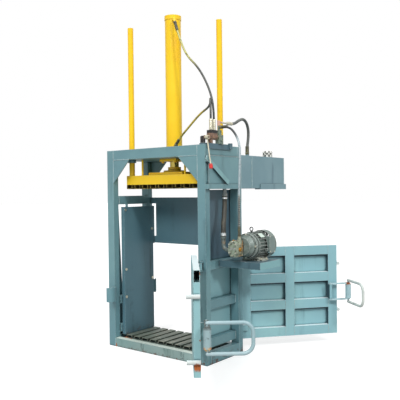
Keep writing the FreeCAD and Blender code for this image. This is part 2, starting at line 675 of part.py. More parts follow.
# doors, drawn closed about their own corner and then turned about the pins
for end, sign in (("front", 1), ("rear", -1)):
    low, wide, gap = f"{end}_door_low", f"{end}_door_width", f"{end}_door_gap"
    pin = FreeCAD.Placement(V(size(f"{end}_pin_x"), size(f"{end}_pin_y"), 0),
                            FreeCAD.Rotation(V(0, 0, 1), sign * size("door_angle")))
    tall = f"(door_top - {low})"
    cell_wide = f"(({wide} - 3 * stile_wide) / 2)"
    cell_tall = f"(({tall} - 4 * rail_wide) / 3)"
    corner = V(-size(f"{gap} + {wide}"), sign * size("door_set"), size(low))
    item = doc.addObject("PartDesign::Body", f"{end}_door_welded")
    face = sketch_on(item, f"{end}_door_face", "XZ_Plane")
    rectangle(face, ("0", wide), ("0", tall))
    pad(item, face, "door_deep", back=sign > 0)
    cells = sketch_on(item, f"{end}_door_cells", "XZ_Plane")
    for column in range(2):
        for level in range(3):
            left = f"stile_wide + {column} * ({cell_wide} + stile_wide)"
            base = f"rail_wide + {level} * ({cell_tall} + rail_wide)"
            rectangle(cells, (left, f"{left} + {cell_wide}"), (base, f"{base} + {cell_tall}"))
    pocket(item, cells, "door_deep", back=sign < 0)
    inside = side(("section_wall", "door_deep - section_wall"), sign)
    for name, levels, start in (("shut", (0, 1, 2), "section_wall"), ("open", (3,), "0")):
        rail_holes = sketch_on(item, f"{end}_door_rails_{name}", "YZ_Plane", start)
        for level in levels:
            base = f"{level} * ({cell_tall} + rail_wide)"
            rectangle(rail_holes, inside, (f"{base} + section_wall", f"{base} + rail_wide - section_wall"))
        pocket(item, rail_holes, f"{wide} - section_wall - {start}", back=True)
    stile_holes = sketch_on(item, f"{end}_door_stiles", "XY_Plane", "section_wall")
    for column in range(3):
        left = f"{column} * ({cell_wide} + stile_wide)"
        rectangle(stile_holes, (f"{left} + section_wall", f"{left} + stile_wide - section_wall"), inside)
    pocket(item, stile_holes, f"{tall} - 2 * section_wall", back=True)
    bars = sketch_on(item, f"{end}_door_bars", "XZ_Plane")
    for height in ("345", "820"):
        circle(bars, "1 - stop_bar_radius", f"{height} - {low}", "stop_bar_radius")
    pad(item, bars, "door_deep + door_sheet + 50" if sign > 0 else "door_deep + door_sheet", back=sign > 0)
    hinge_x, heights = f"{wide} + {gap}", HINGES[end][2]
    arms = sketch_on(item, f"{end}_door_arms", "XZ_Plane")
    for height in heights:
        z = f"({height} - {low})"
        rectangle(arms, (f"{wide} - 60", f"{hinge_x} - 6"),
                  (f"{z} - knuckle_half + 1", f"{z} + knuckle_half - 1"))
    pad(item, arms, "22", back=sign < 0)
    post_marks = sketch_on(item, f"{end}_latch_post", "XZ_Plane")
    post_x = f"({gap} + {wide} - {end}_link_x)"
    rectangle(post_marks, (f"{post_x} - 7", f"{post_x} + 7"),
              (f"strap_low - {low} + 8", f"strap_high - {low} - 8"))
    pad(item, post_marks, "latch_proud", back=sign < 0)
    eye = sketch_on(item, f"{end}_latch_eye", "XY_Plane", f"strap_low - {low} + 8")
    circle(eye, post_x, f"{-sign} * latch_proud", "16")
    pad(item, eye, "strap_high - strap_low - 16")
    stem = sketch_on(item, f"{end}_latch_stem", "XY_Plane", f"strap_low - {low} - 10")
    circle(stem, post_x, f"{-sign} * latch_proud", "latch_pin")
    pad(item, stem, "strap_high - strap_low + 20")
    item.Placement = pin.multiply(FreeCAD.Placement(corner, FreeCAD.Rotation()))
    knuckles, holes = [], []
    for number, height in enumerate(heights):
        spot = (f"{end}_pin_x", f"{end}_pin_y", f"{height} - knuckle_half + 1")
        knuckles.append(rod(f"{end}_knuckle_{number}", "knuckle_radius", "2 * knuckle_half - 2", spot))
        holes.append(rod(f"{end}_knuckle_hole_{number}", "pin_radius + running_gap", "2 * knuckle_half", spot))
    keep(cut(f"{end}_door_frame", join(f"{end}_door_whole", [item] + knuckles), holes), f"{end}_door_frame")

    item = body(f"{end}_door_sheet")
    face = sketch_on(item, f"{end}_sheet_face", "XZ_Plane")
    rectangle(face, ("2", wide), ("0", tall))
    pad(item, face, "door_sheet", back=sign > 0)
    shift = V(0, sign * size("door_deep"), 0)
    item.Placement = pin.multiply(FreeCAD.Placement(corner + shift, FreeCAD.Rotation()))

    # the latch: a link of two straps and a barrel, and a bent tube handle on its pin
    axis_y = sign * (size("door_set") - size("latch_proud"))
    near = V(-size(f"{end}_link_x"), axis_y, 0)
    far = near - V(size("link_run"), 0, 0)
    straps = []
    for z in (size("strap_low"), size("strap_high")):
        base = z - size("strap_thick") / 2
        plates = [solid_block((far.x, near.x), (axis_y - 19, axis_y + 19), (base, base + size("strap_thick")))]
        for centre in (near, far):
            plates.append(Part.makeCylinder(19, size("strap_thick"), V(centre.x, axis_y, base)))
        straps.append(united(plates))
    span = size("strap_high") - size("strap_low") - size("strap_thick")
    straps.append(Part.makeCylinder(size("latch_barrel"), span,
                                    V(far.x, axis_y, size("strap_low") + size("strap_thick") / 2)))
    link = united(straps)
    for centre in (near, far):
        link = link.cut(Part.makeCylinder(size("latch_pin + running_gap"), 400, V(centre.x, axis_y, 350)))
    shaped(f"{end}_latch_link", link, pin)
    bend, reach = size("handle_bend"), size("handle_reach")
    tall = size("handle_high") - size("handle_low")
    out, up = V(0, -sign, 0), V(0, 0, 1)
    ends = [V(far.x, axis_y, size("handle_low")), V(far.x, axis_y, size("handle_high"))]
    run, near_turn = out * (reach - bend), bend * math.sqrt(0.5)
    knees = [ends[0] + run + out * near_turn + up * (bend - near_turn),
             ends[1] + run + out * near_turn - up * (bend - near_turn)]
    risers = [ends[0] + out * reach + up * bend, ends[1] + out * reach - up * bend]
    path = Part.Wire([
        Part.LineSegment(ends[0], ends[0] + run).toShape(),
        Part.Arc(ends[0] + run, knees[0], risers[0]).toShape(),
        Part.LineSegment(risers[0], risers[1]).toShape(),
        Part.Arc(risers[1], knees[1], ends[1] + run).toShape(),
        Part.LineSegment(ends[1] + run, ends[1]).toShape()])
    ring = Part.Wire(Part.Circle(ends[0], out, size("handle_radius")).toShape())
    grip = path.makePipeShell([ring], True, False)
    caps = [Part.makeSphere(size("handle_radius"), spot) for spot in ends]
    spindle = Part.makeCylinder(size("latch_pin"), tall, ends[0])
    shaped(f"{end}_latch_handle", united([grip, spindle] + caps), pin)

    # the catch on the left post: half a pipe, open to the left
    end_name, post_face = ("front", -size("half_depth")) if sign > 0 else ("back", size("half_depth"))
    radius = size(f"{end_name}_catch_radius")
    shift = 0 if sign > 0 else size("rear_pin_y") + axis_y - post_face - radius
    reach_back = size("front_pin_x - rear_pin_x + rear_link_x - front_link_x")
    catch_x = size("catch_x") - (0 if sign > 0 else reach_back)
    axis = V(catch_x, post_face - sign * (radius + shift), size("strap_low") + 8)
    long = size("strap_high") - size("strap_low") - 16
    pipe = Part.makeCylinder(radius, long, axis).cut(
        Part.makeCylinder(radius - size("catch_wall"), long, axis))
    pipe = pipe.cut(solid_block((axis.x - 100, axis.x), (axis.y - 100, axis.y + 100), (0, 1000)))
    spans = sorted((post_face, post_face - sign * (size("catch_wall") + shift)))
    foot = solid_block((-600, axis.x + 5), spans, (axis.z, axis.z + long))
    shaped(f"{end_name}_catch", united([pipe, foot]))

# motor shelf, motor, bell housing, pump and suction pipe
shelf = cut("shelf_shell", block("shelf_outer", ("half_width", "shelf_right"), ("shelf_front", "shelf_back"),
                                 ("shelf_low", "shelf_top")),
            [block("shelf_inner", ("half_width - 1", "shelf_right - 6"), ("shelf_front + 6", "shelf_back - 6"),
                   ("shelf_low - 1", "shelf_top - 6"))])
lip = [block("shelf_lip_a", ("half_width", "shelf_right"), ("shelf_front", "shelf_front + 30"),
             ("shelf_low", "shelf_low + 6")),
       block("shelf_lip_b", ("half_width", "shelf_right"), ("shelf_back - 30", "shelf_back"),
             ("shelf_low", "shelf_low + 6")),
       block("shelf_root", ("rail_outer", "half_width + 6"), ("shelf_front", "half_depth - post_y"),
             ("shelf_low", "shelf_top"))]
keep(join("motor_shelf", [shelf] + lip), "motor_shelf")

item = body("motor_housing")
bind(item, ("motor_x", "0", "motor_z"))
profile = sketch_on(item, "motor_profile", "XY_Plane")
outline(profile, [("shaft_radius + running_gap", "14"), ("motor_flange", "14"), ("motor_flange", "30"),
                  ("motor_barrel - 8", "34"), ("motor_barrel - 8", "44"), ("motor_barrel + 6", "48"),
                  ("motor_barrel + 6", "60"), ("motor_barrel", "64"), ("motor_barrel", "230"),
                  ("motor_barrel + 2", "236"), ("motor_barrel - 4", "250"),
                  ("shaft_radius + running_gap", "250")])
turn(item, profile)
fin = sketch_on(item, "motor_fin", "XZ_Plane", "-228")
rectangle(fin, ("motor_barrel - 2", "fin_radius"), ("-2", "2"))
around(item, pad(item, fin, "166"), "Y_Axis", "fin_count")
lug = sketch_on(item, "motor_lug", "XZ_Plane", "-268")
rectangle(lug, ("motor_barrel - 6", "cover_radius - 4"), ("-7", "7"))
around(item, pad(item, lug, "34"), "Y_Axis", "4")
foot = sketch_on(item, "motor_foot", "XZ_Plane", "-205")
outline(foot, [("-105", "shelf_top - motor_z"), ("105", "shelf_top - motor_z"),
               ("105", "shelf_top - motor_z + 16"), ("62", "shelf_top - motor_z + 30"), ("52", "-70"),
               ("-52", "-70"), ("-62", "shelf_top - motor_z + 30"), ("-105", "shelf_top - motor_z + 16")])
pad(item, foot, "120")
item.Tip = item.Group[-1]

item = body("fan_cover")
bind(item, ("motor_x", "0", "motor_z"))
profile = sketch_on(item, "cover_profile", "XY_Plane")
outline(profile, [("cover_radius - 3", "240"), ("cover_radius", "240"), ("cover_radius", "312"),
                  ("cover_radius - 18", "330"), ("0", "330"), ("0", "327"), ("cover_radius - 19", "327"),
                  ("cover_radius - 3", "311")])
turn(item, profile)
slot = sketch_on(item, "cover_slot", "XZ_Plane", "-340")
rectangle(slot, ("34", "100"), ("-4", "4"))
around(item, pocket(item, slot, "30", back=True), "Y_Axis", "16")

item = body("motor_rotor")
bind(item, ("motor_x", "0", "motor_z"))
profile = sketch_on(item, "rotor_profile", "XY_Plane")
outline(profile, [("0", "-40"), ("shaft_radius", "-40"), ("shaft_radius", "264"), ("100", "264"),
                  ("100", "268"), ("26", "268"), ("26", "290"), ("0", "290")])
turn(item, profile)
blade = sketch_on(item, "rotor_blade", "XZ_Plane", "-292")
rectangle(blade, ("20", "98"), ("-2", "2"))
around(item, pad(item, blade, "26"), "Y_Axis", "8")

box = block("terminal_case", ("motor_x + 100", "motor_x + 150"), ("158", "232"),
            ("motor_z - 60", "motor_z + 80"))
lid = block("terminal_lid", ("motor_x + 150", "motor_x + 158"), ("152", "238"),
            ("motor_z - 66", "motor_z + 86"))
gland = rod("terminal_gland", "13", "26", ("motor_x + 134", "133", "motor_z - 40"), "y")
gland_bore = rod("terminal_bore", "8", "50", ("motor_x + 134", "128", "motor_z - 40"), "y")
clear = rod("terminal_clear", "fin_radius + 0.5", "300", ("motor_x", "0", "motor_z"), "y")
keep(cut("terminal_box", join("terminal_whole", [box, lid, gland]), [gland_bore, clear]), "terminal_box")
eye = Part.makeTorus(17, 5, V(size("motor_x"), 88, size("motor_z + fin_radius") + 26), V(0, 1, 0))
stalk = Part.makeCylinder(11, 12, V(size("motor_x"), 88, size("motor_z + fin_radius")))
shaped("lifting_eye", united([eye, stalk]))

item = body("bell_housing")
bind(item, ("motor_x", "0", "motor_z"))
profile = sketch_on(item, "bell_profile", "XY_Plane")
outline(profile, [("shaft_radius + 4", "-60"), ("78", "-60"), ("78", "-46"), ("100", "-20"),
                  ("100", "0"), ("motor_flange", "0"), ("motor_flange", "14"), ("70", "14"), ("70", "-48"),
                  ("shaft_radius + 4", "-48")])
turn(item, profile)
hole = sketch_on(item, "bell_bolt", "XZ_Plane", "0")
circle(hole, "motor_flange - 12", "0", "9")
around(item, pad(item, hole, "8"), "Y_Axis", "4")

pump = [block("pump_flange", ("796", "884"), ("-74", "-60"), ("992", "1128")),
        block("pump_rib", ("816", "864"), ("-158", "-66"), ("984", "1002")),
        rod("pump_suction_boss", "27", "22", ("788", "-125", "1041"), "x"),
        rod("pump_outlet_boss", "21", "46", ("872", "-98", "1090")),
        rod("pump_outlet", "13", "58", ("872", "-98", "1132")),
        rod("pump_outlet_nut", "17", "18", ("872", "-98", "1136"))]
for part, radius, front, back in (("case", "44", "-146", "-70"), ("cover", "48", "-160", "-134")):
    wide = (f"840 - {radius}", f"840 + {radius}")
    pump.append(block(f"pump_{part}_middle", wide, (front, back), ("1036", "1084")))
    for z in ("1036", "1084"):
        pump.append(rod(f"pump_{part}_{z}", radius, f"({back}) - ({front})", ("840", front, z), "y"))
for i, (x, z) in enumerate(((806, 1022), (874, 1022), (806, 1098), (874, 1098), (840, 1122), (840, 998))):
    pump.append(rod(f"pump_bolt_{i}", "7", "8", (f"{x}", "-168", f"{z}"), "y"))
keep(join("gear_pump", pump), "gear_pump")

foot_point = route["suction_hose"][-1]
mouth = V(788, foot_point.y, 1041)
bend = 50
path = Part.Wire([
    Part.LineSegment(foot_point, V(foot_point.x, foot_point.y, mouth.z + bend)).toShape(),
    Part.Arc(V(foot_point.x, foot_point.y, mouth.z + bend),
             V(foot_point.x + bend * (1 - math.sqrt(0.5)), foot_point.y, mouth.z + bend * (1 - math.sqrt(0.5))),
             V(foot_point.x + bend, foot_point.y, mouth.z)).toShape(),
    Part.LineSegment(V(foot_point.x + bend, foot_point.y, mouth.z), mouth).toShape()])
ring = Part.Wire(Part.Circle(foot_point, V(0, 0, -1), 19).toShape())
pipe = path.makePipeShell([ring], True, False)
clamp = Part.makeCylinder(26, 22, foot_point - V(0, 0, 22))
mouth_nut = Part.makeCylinder(25, 14, mouth - V(14, 0, 0), V(1, 0, 0))
shaped("suction_elbow", united([pipe, clamp, mouth_nut]))

# oil tank with its filler neck, bottom angle and hose ends
tank = block("tank_outer", ("tank_inner", "half_width"), ("tank_front", "tank_back"), ("tank_low", "tank_top"))
tank_room = block("tank_room", ("tank_inner + tank_wall", "half_width - tank_wall"),
                  ("tank_front + tank_wall", "tank_back - tank_wall"),
                  ("tank_low + tank_wall", "tank_top - tank_wall"))
neck = rod("tank_neck", "neck_radius", "18", ("cap_x", "cap_y", "tank_top - 2"))
neck_bore = rod("tank_neck_bore", "neck_radius - 6", "40", ("cap_x", "cap_y", "tank_top - 20"))
angle = block("tank_angle", ("half_width - 1", "half_width + 14"), ("620", "tank_back + 20"), ("1595", "1645"))
angle_foot = block("tank_angle_foot", ("half_width - 60", "half_width + 14"), ("620", "tank_back + 20"),
                   ("1590", "1600"))
seam = block("tank_weld", ("half_width - 1", "half_width + 2"), ("tank_seam - 4", "tank_seam + 4"),
             ("tank_low", "tank_top"))
port = rod("tank_port", "18", "36", ("595", "458", "tank_top - 1"))
keep(cut("oil_tank", join("tank_whole", [tank, neck, angle, angle_foot, seam, port]), [tank_room, neck_bore]),
     "oil_tank")

item = body("filler_cap")
bind(item, ("cap_x", "cap_y", "tank_top"))
profile = sketch_on(item, "cap_profile", "XZ_Plane")
outline(profile, [("neck_radius + running_gap", "1"), ("cap_radius - 3", "1"), ("cap_radius - 3", "cap_tall - 6"),
                  ("cap_radius - 9", "cap_tall"), ("0", "cap_tall"), ("0", "17"),
                  ("neck_radius + running_gap", "17")])
turn(item, profile)
knurl = sketch_on(item, "cap_knurl", "XY_Plane", "4")
rectangle(knurl, ("cap_radius - 5", "cap_radius"), ("-2.5", "2.5"))
around(item, pad(item, knurl, "cap_tall - 14"), "Z_Axis", "24")

# valve group on the top right front corner
keep(join("valve_bracket", [
    block("bracket_top", ("575", "half_width + 13"), ("-250", "105"), ("frame_height", "frame_height + 12")),
    block("bracket_side", ("half_width", "half_width + 13"), ("-250", "105"), ("1962", "frame_height + 1")),
    block("bracket_front", ("575", "half_width"), ("-286", "-249"), ("frame_height", "frame_height + 12")),
    block("bracket_clip", ("half_width", "half_width + 30"), ("70", "102"), ("1970", "frame_height + 24"))]),
     "valve_bracket")
keep(join("valve_body", [
    block("valve_block", ("604", "658"), ("-212", "-126"), ("2088", "2132")),
    rod("valve_barrel", "30", "98", ("631", "-218", "2074"), "y"),
    rod("valve_end", "22", "12", ("631", "-121", "2074"), "y"),
    block("valve_foot", ("612", "648"), ("-208", "-180"), ("frame_height + 12", "2052")),
    block("valve_nose", ("606", "634"), ("-258", "-212"), ("2046", "2082")),
    block("valve_lug", ("600", "634"), ("lever_y - 14", "-250"), ("lever_z - 14", "lever_z + 14")),
    block("linkage", ("586", "626"), ("-286", "-262"), ("frame_height + 12", "frame_height + 72")),
    rod("lever_pin", "latch_pin", "48", ("630", "lever_y", "lever_z"), "x"),
    rod("ferrule_top", "13", "97", ("635", "-144", "2131")),
    rod("ferrule_low", "13", "97", ("638", "-195", "2131"))]), "valve_body")
relief = [block("relief_block", ("620", "668"), ("-104", "-46"), ("frame_height + 12", "2092")),
          block("relief_neck", ("626", "658"), ("-93", "-57"), ("2091", "2136")),
          rod("relief_plug", "13", "16", ("667", "-84", "2046"), "x"),
          rod("relief_stem", "11", "45", ("640", "-75", "2135")),
          rod("relief_side", "12.5", "36", ("640", "-75", "2165"), "x"),
          rod("relief_top", "15", "48", ("640", "-75", "2179")),
          rod("relief_arm", "8.5", "140", ("640", "-75", "2212"), "y"),
          rod("relief_arm_nut", "15.5", "33", ("640", "58", "2212"), "y")]
keep(join("relief_valve", relief), "relief_valve")
hub = cut("lever_hub", rod("lever_hub_outer", "18", "34", ("lever_x - 17", "lever_y", "lever_z"), "x"),
          [rod("lever_hub_bore", "latch_pin + running_gap", "60", ("lever_x - 30", "lever_y", "lever_z"), "x")])
doc.recompute()
top = V(size("lever_x"), size("lever_y"), size("lever_z") - 14)
tip = V(691, size("lever_y"), 1822)
stick = bar_between(top, tip, 6).cut(Part.makeCylinder(10, 60, V(top.x - 30, top.y, size("lever_z")), V(1, 0, 0)))
shaped("valve_lever", united([hub.Shape, stick]))
along = (tip - top).normalize()
shaped("lever_knob", united([
    Part.makeCylinder(16, 44, tip, along), Part.makeCylinder(17.5, 30, tip + along * 7, along)]))

# bolts through the side panels
heads = []
for hand, sx in (("left", -1), ("right", 1)):
    for n, (y, z) in enumerate(((-174, 1394), (-174, 780), (-174, 496), (219, 1180), (219, 651))):
        start = "-web_face" if sx < 0 else "web_face + panel_flange - panel_thick - 4"
        heads.append(rod(f"panel_bolt_{hand}_{n}", "14", "4", (start, f"{y}", f"{z}"), "x"))
keep(group("panel_bolts", heads), "panel_bolts")

# the suction line's upper end, below the folded edge
nipple = Part.makeCylinder(18, 66, V(664, -28, 1530)).fuse(Part.makeCylinder(26, 26, V(664, -28, 1530)))
shaped("suction_fitting", nipple.removeSplitter())


def hose(label):
    """A tube on straight runs joined by arcs tangent to both; prints the arc radii."""
    points = route[label]
    radius = size(ROUTES[label][0])
    edges, start, radii = [], points[0], []
    for a, b, c in zip(points, points[1:], points[2:]):
        before, after = b - a, c - b
        half = before.getAngle(after) / 2
        cut_back = 0.45 * min(before.Length, after.Length)
        bend = cut_back / math.tan(half)
        radii.append(round(bend))
        enter = b - V(before).normalize() * cut_back
        leave = b + V(after).normalize() * cut_back
        inward = ((enter - b) + (leave - b)).normalize()
        centre = b + inward * math.hypot(bend, cut_back)
        edges.append(Part.LineSegment(start, enter).toShape())
        edges.append(Part.Arc(enter, centre - inward * bend, leave).toShape())
        start = leave
    edges.append(Part.LineSegment(start, points[-1]).toShape())
    path = Part.Wire(edges)
    ring = Part.Wire(Part.Circle(points[0], points[1] - points[0], radius).toShape())
    made = shaped(label, path.makePipeShell([ring], True, False))
    expected = math.pi * radius ** 2 * path.Length
    print(label, "arc radii", radii, "least over diameter", round(min(radii) / (2 * radius), 1),
          "length", round(path.Length), "volume ratio", round(made.Shape.Volume / expected, 4))


for label in ROUTES:
    hose(label)

doc.recompute()
for item in doc.Objects:
    bad = [state for state in item.State if state in ("Invalid", "Error")]
    if bad:
        raise RuntimeError(f"{item.Name} is {bad}")
unsound = [label for label, item in parts.items()
           if item.Shape.isNull() or not item.Shape.isValid() or item.Shape.Volume <= 0]
if unsound:
    raise RuntimeError(f"no sound shape: {unsound}")

os.makedirs("parts", exist_ok=True)
for label, item in parts.items():
    item.Shape.exportStep(f"parts/{label}.step")
    box = item.Shape.BoundBox
    print(label, "solids", len(item.Shape.Solids), "volume", round(item.Shape.Volume),
          "box", [round(value) for value in (box.XMin, box.XMax, box.YMin, box.YMax, box.ZMin, box.ZMax)])
print("sub-parts", len(parts))
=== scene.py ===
"""Looks of the recycling baler: its paint, rust, welds, hoses, hose ends and small hardware.

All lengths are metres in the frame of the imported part: X to the right, Y to the back, Z up.
"""
import math

import bmesh
import bpy
import numpy as np
from mathutils import Matrix, Vector


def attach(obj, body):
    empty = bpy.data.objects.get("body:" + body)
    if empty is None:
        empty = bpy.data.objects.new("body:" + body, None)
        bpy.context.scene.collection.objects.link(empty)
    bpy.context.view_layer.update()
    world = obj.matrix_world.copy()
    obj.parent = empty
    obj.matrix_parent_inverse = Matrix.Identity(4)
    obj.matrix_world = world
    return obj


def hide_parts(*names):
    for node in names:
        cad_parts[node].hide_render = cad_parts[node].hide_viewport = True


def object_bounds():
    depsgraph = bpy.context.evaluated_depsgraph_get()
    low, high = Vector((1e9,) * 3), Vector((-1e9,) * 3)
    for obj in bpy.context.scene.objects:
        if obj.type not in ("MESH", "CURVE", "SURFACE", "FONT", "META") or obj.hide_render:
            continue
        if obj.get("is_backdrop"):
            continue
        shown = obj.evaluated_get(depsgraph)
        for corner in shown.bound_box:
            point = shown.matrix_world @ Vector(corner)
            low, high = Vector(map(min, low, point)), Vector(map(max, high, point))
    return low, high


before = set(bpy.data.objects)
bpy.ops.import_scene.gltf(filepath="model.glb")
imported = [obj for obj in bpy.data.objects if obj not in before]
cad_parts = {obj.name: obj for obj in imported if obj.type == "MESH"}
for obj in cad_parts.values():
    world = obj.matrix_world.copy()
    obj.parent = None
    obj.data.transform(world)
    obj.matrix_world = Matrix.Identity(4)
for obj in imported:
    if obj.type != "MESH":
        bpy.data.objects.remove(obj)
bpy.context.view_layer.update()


# ---- camera ----

def set_camera():
    """Camera at the photograph's eye point, turned left of +Y, tipped down and rolled a little."""
    turn, tip, roll = math.radians(38.359), math.radians(0.863), math.radians(0.647)
    ahead = Vector((-math.sin(turn) * math.cos(tip), math.cos(turn) * math.cos(tip), -math.sin(tip)))
    across = Vector((math.cos(turn), math.sin(turn), 0))
    up = across.cross(ahead)
    right = across * math.cos(roll) - up * math.sin(roll)
    top = up * math.cos(roll) + across * math.sin(roll)
    lens = bpy.data.cameras.new("photo_camera")
    lens.sensor_width = 36
    lens.lens = 52.94
    camera = bpy.data.objects.new("photo_camera", lens)
    bpy.context.collection.objects.link(camera)
    place = Matrix((right, top, -ahead)).transposed().to_4x4()
    place.translation = (3.8705, -4.4494, 1.5783)
    camera.matrix_world = place
    bpy.context.scene.camera = camera


set_camera()


# ---- hoses: the routes of the part, as smooth splines ----

# name: outer diameter, real length, route
HOSES = {
    "top_hose": (0.020, 1.160, [
        (0.107, -0.053, 3.222), (0.160, -0.062, 3.085), (0.262, -0.080, 2.885), (0.430, -0.109, 2.745),
        (0.560, -0.131, 2.560), (0.635, -0.144, 2.370), (0.635, -0.144, 2.228)]),
    "bottom_hose": (0.020, 0.924, [
        (0.638, -0.195, 2.228), (0.638, -0.195, 2.380), (0.563, -0.100, 2.450), (0.488, -0.005, 2.380),
        (0.385, -0.025, 2.322), (0.250, -0.050, 2.188), (0.150, -0.050, 2.104), (0.095, -0.042, 2.043)]),
    "pressure_hose": (0.020, 1.095, [
        (0.676, -0.075, 2.165), (0.745, -0.075, 2.165), (0.838, -0.108, 2.106), (0.910, -0.128, 1.990),
        (0.905, -0.128, 1.790), (0.886, -0.114, 1.580), (0.872, -0.098, 1.370), (0.872, -0.098, 1.190)]),
    "return_hose": (0.028, 0.655, [
        (0.640, 0.091, 2.212), (0.640, 0.165, 2.212), (0.626, 0.275, 2.262), (0.612, 0.365, 2.284),
        (0.600, 0.445, 2.254), (0.592, 0.488, 2.180), (0.592, 0.482, 2.091), (0.595, 0.458, 2.015),
        (0.595, 0.458, 1.960)]),
    "suction_hose": (0.044, 0.390, [
        (0.664, -0.028, 1.530), (0.664, -0.028, 1.445), (0.690, -0.078, 1.340), (0.715, -0.125, 1.240),
        (0.715, -0.125, 1.165)]),
}


def lay_hose(name, diameter, route, finish):
    """A hose whose line is a quadratic NURBS with the route as its control points."""
    line = bpy.data.curves.new(name + "_line", "CURVE")
    line.dimensions = "3D"
    spline = line.splines.new("NURBS")
    spline.points.add(len(route) - 1)
    spline.points.foreach_set("co", np.array([(*p, 1.0) for p in route]).ravel())
    spline.order_u = 3
    spline.use_endpoint_u = True
    spline.resolution_u = 16
    line.bevel_depth = diameter / 2
    line.bevel_resolution = 7
    line.use_fill_caps = True
    line.materials.append(finish)
    hose = bpy.data.objects.new(name + "_rubber", line)
    bpy.context.collection.objects.link(hose)
    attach(hose, "frame")
    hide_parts(name)
    return hose


# ---- finishes ----

def colour(red, green, blue):
    """A screen colour, 0 to 255, as the linear colour that a shader socket takes."""
    share = np.array([red, green, blue]) / 255
    linear = np.where(share <= 0.04045, share / 12.92, ((share + 0.055) / 1.055) ** 2.4)
    return (*linear.tolist(), 1.0)


def feed(tree, socket, value):
    """Joins a socket to another node's output, or sets its number, or leaves it where the value is None."""
    if isinstance(value, bpy.types.NodeSocket):
        tree.links.new(value, socket)
    elif value is not None:
        socket.default_value = value


def add_node(tree, kind, sockets=None, **settings):
    """One node, with its settings, and its inputs set to numbers or joined to other nodes."""
    made = tree.nodes.new(kind)
    for key, setting in settings.items():
        setattr(made, key, setting)
    for key, value in (sockets or {}).items():
        feed(tree, made.inputs[key], value)
    return made


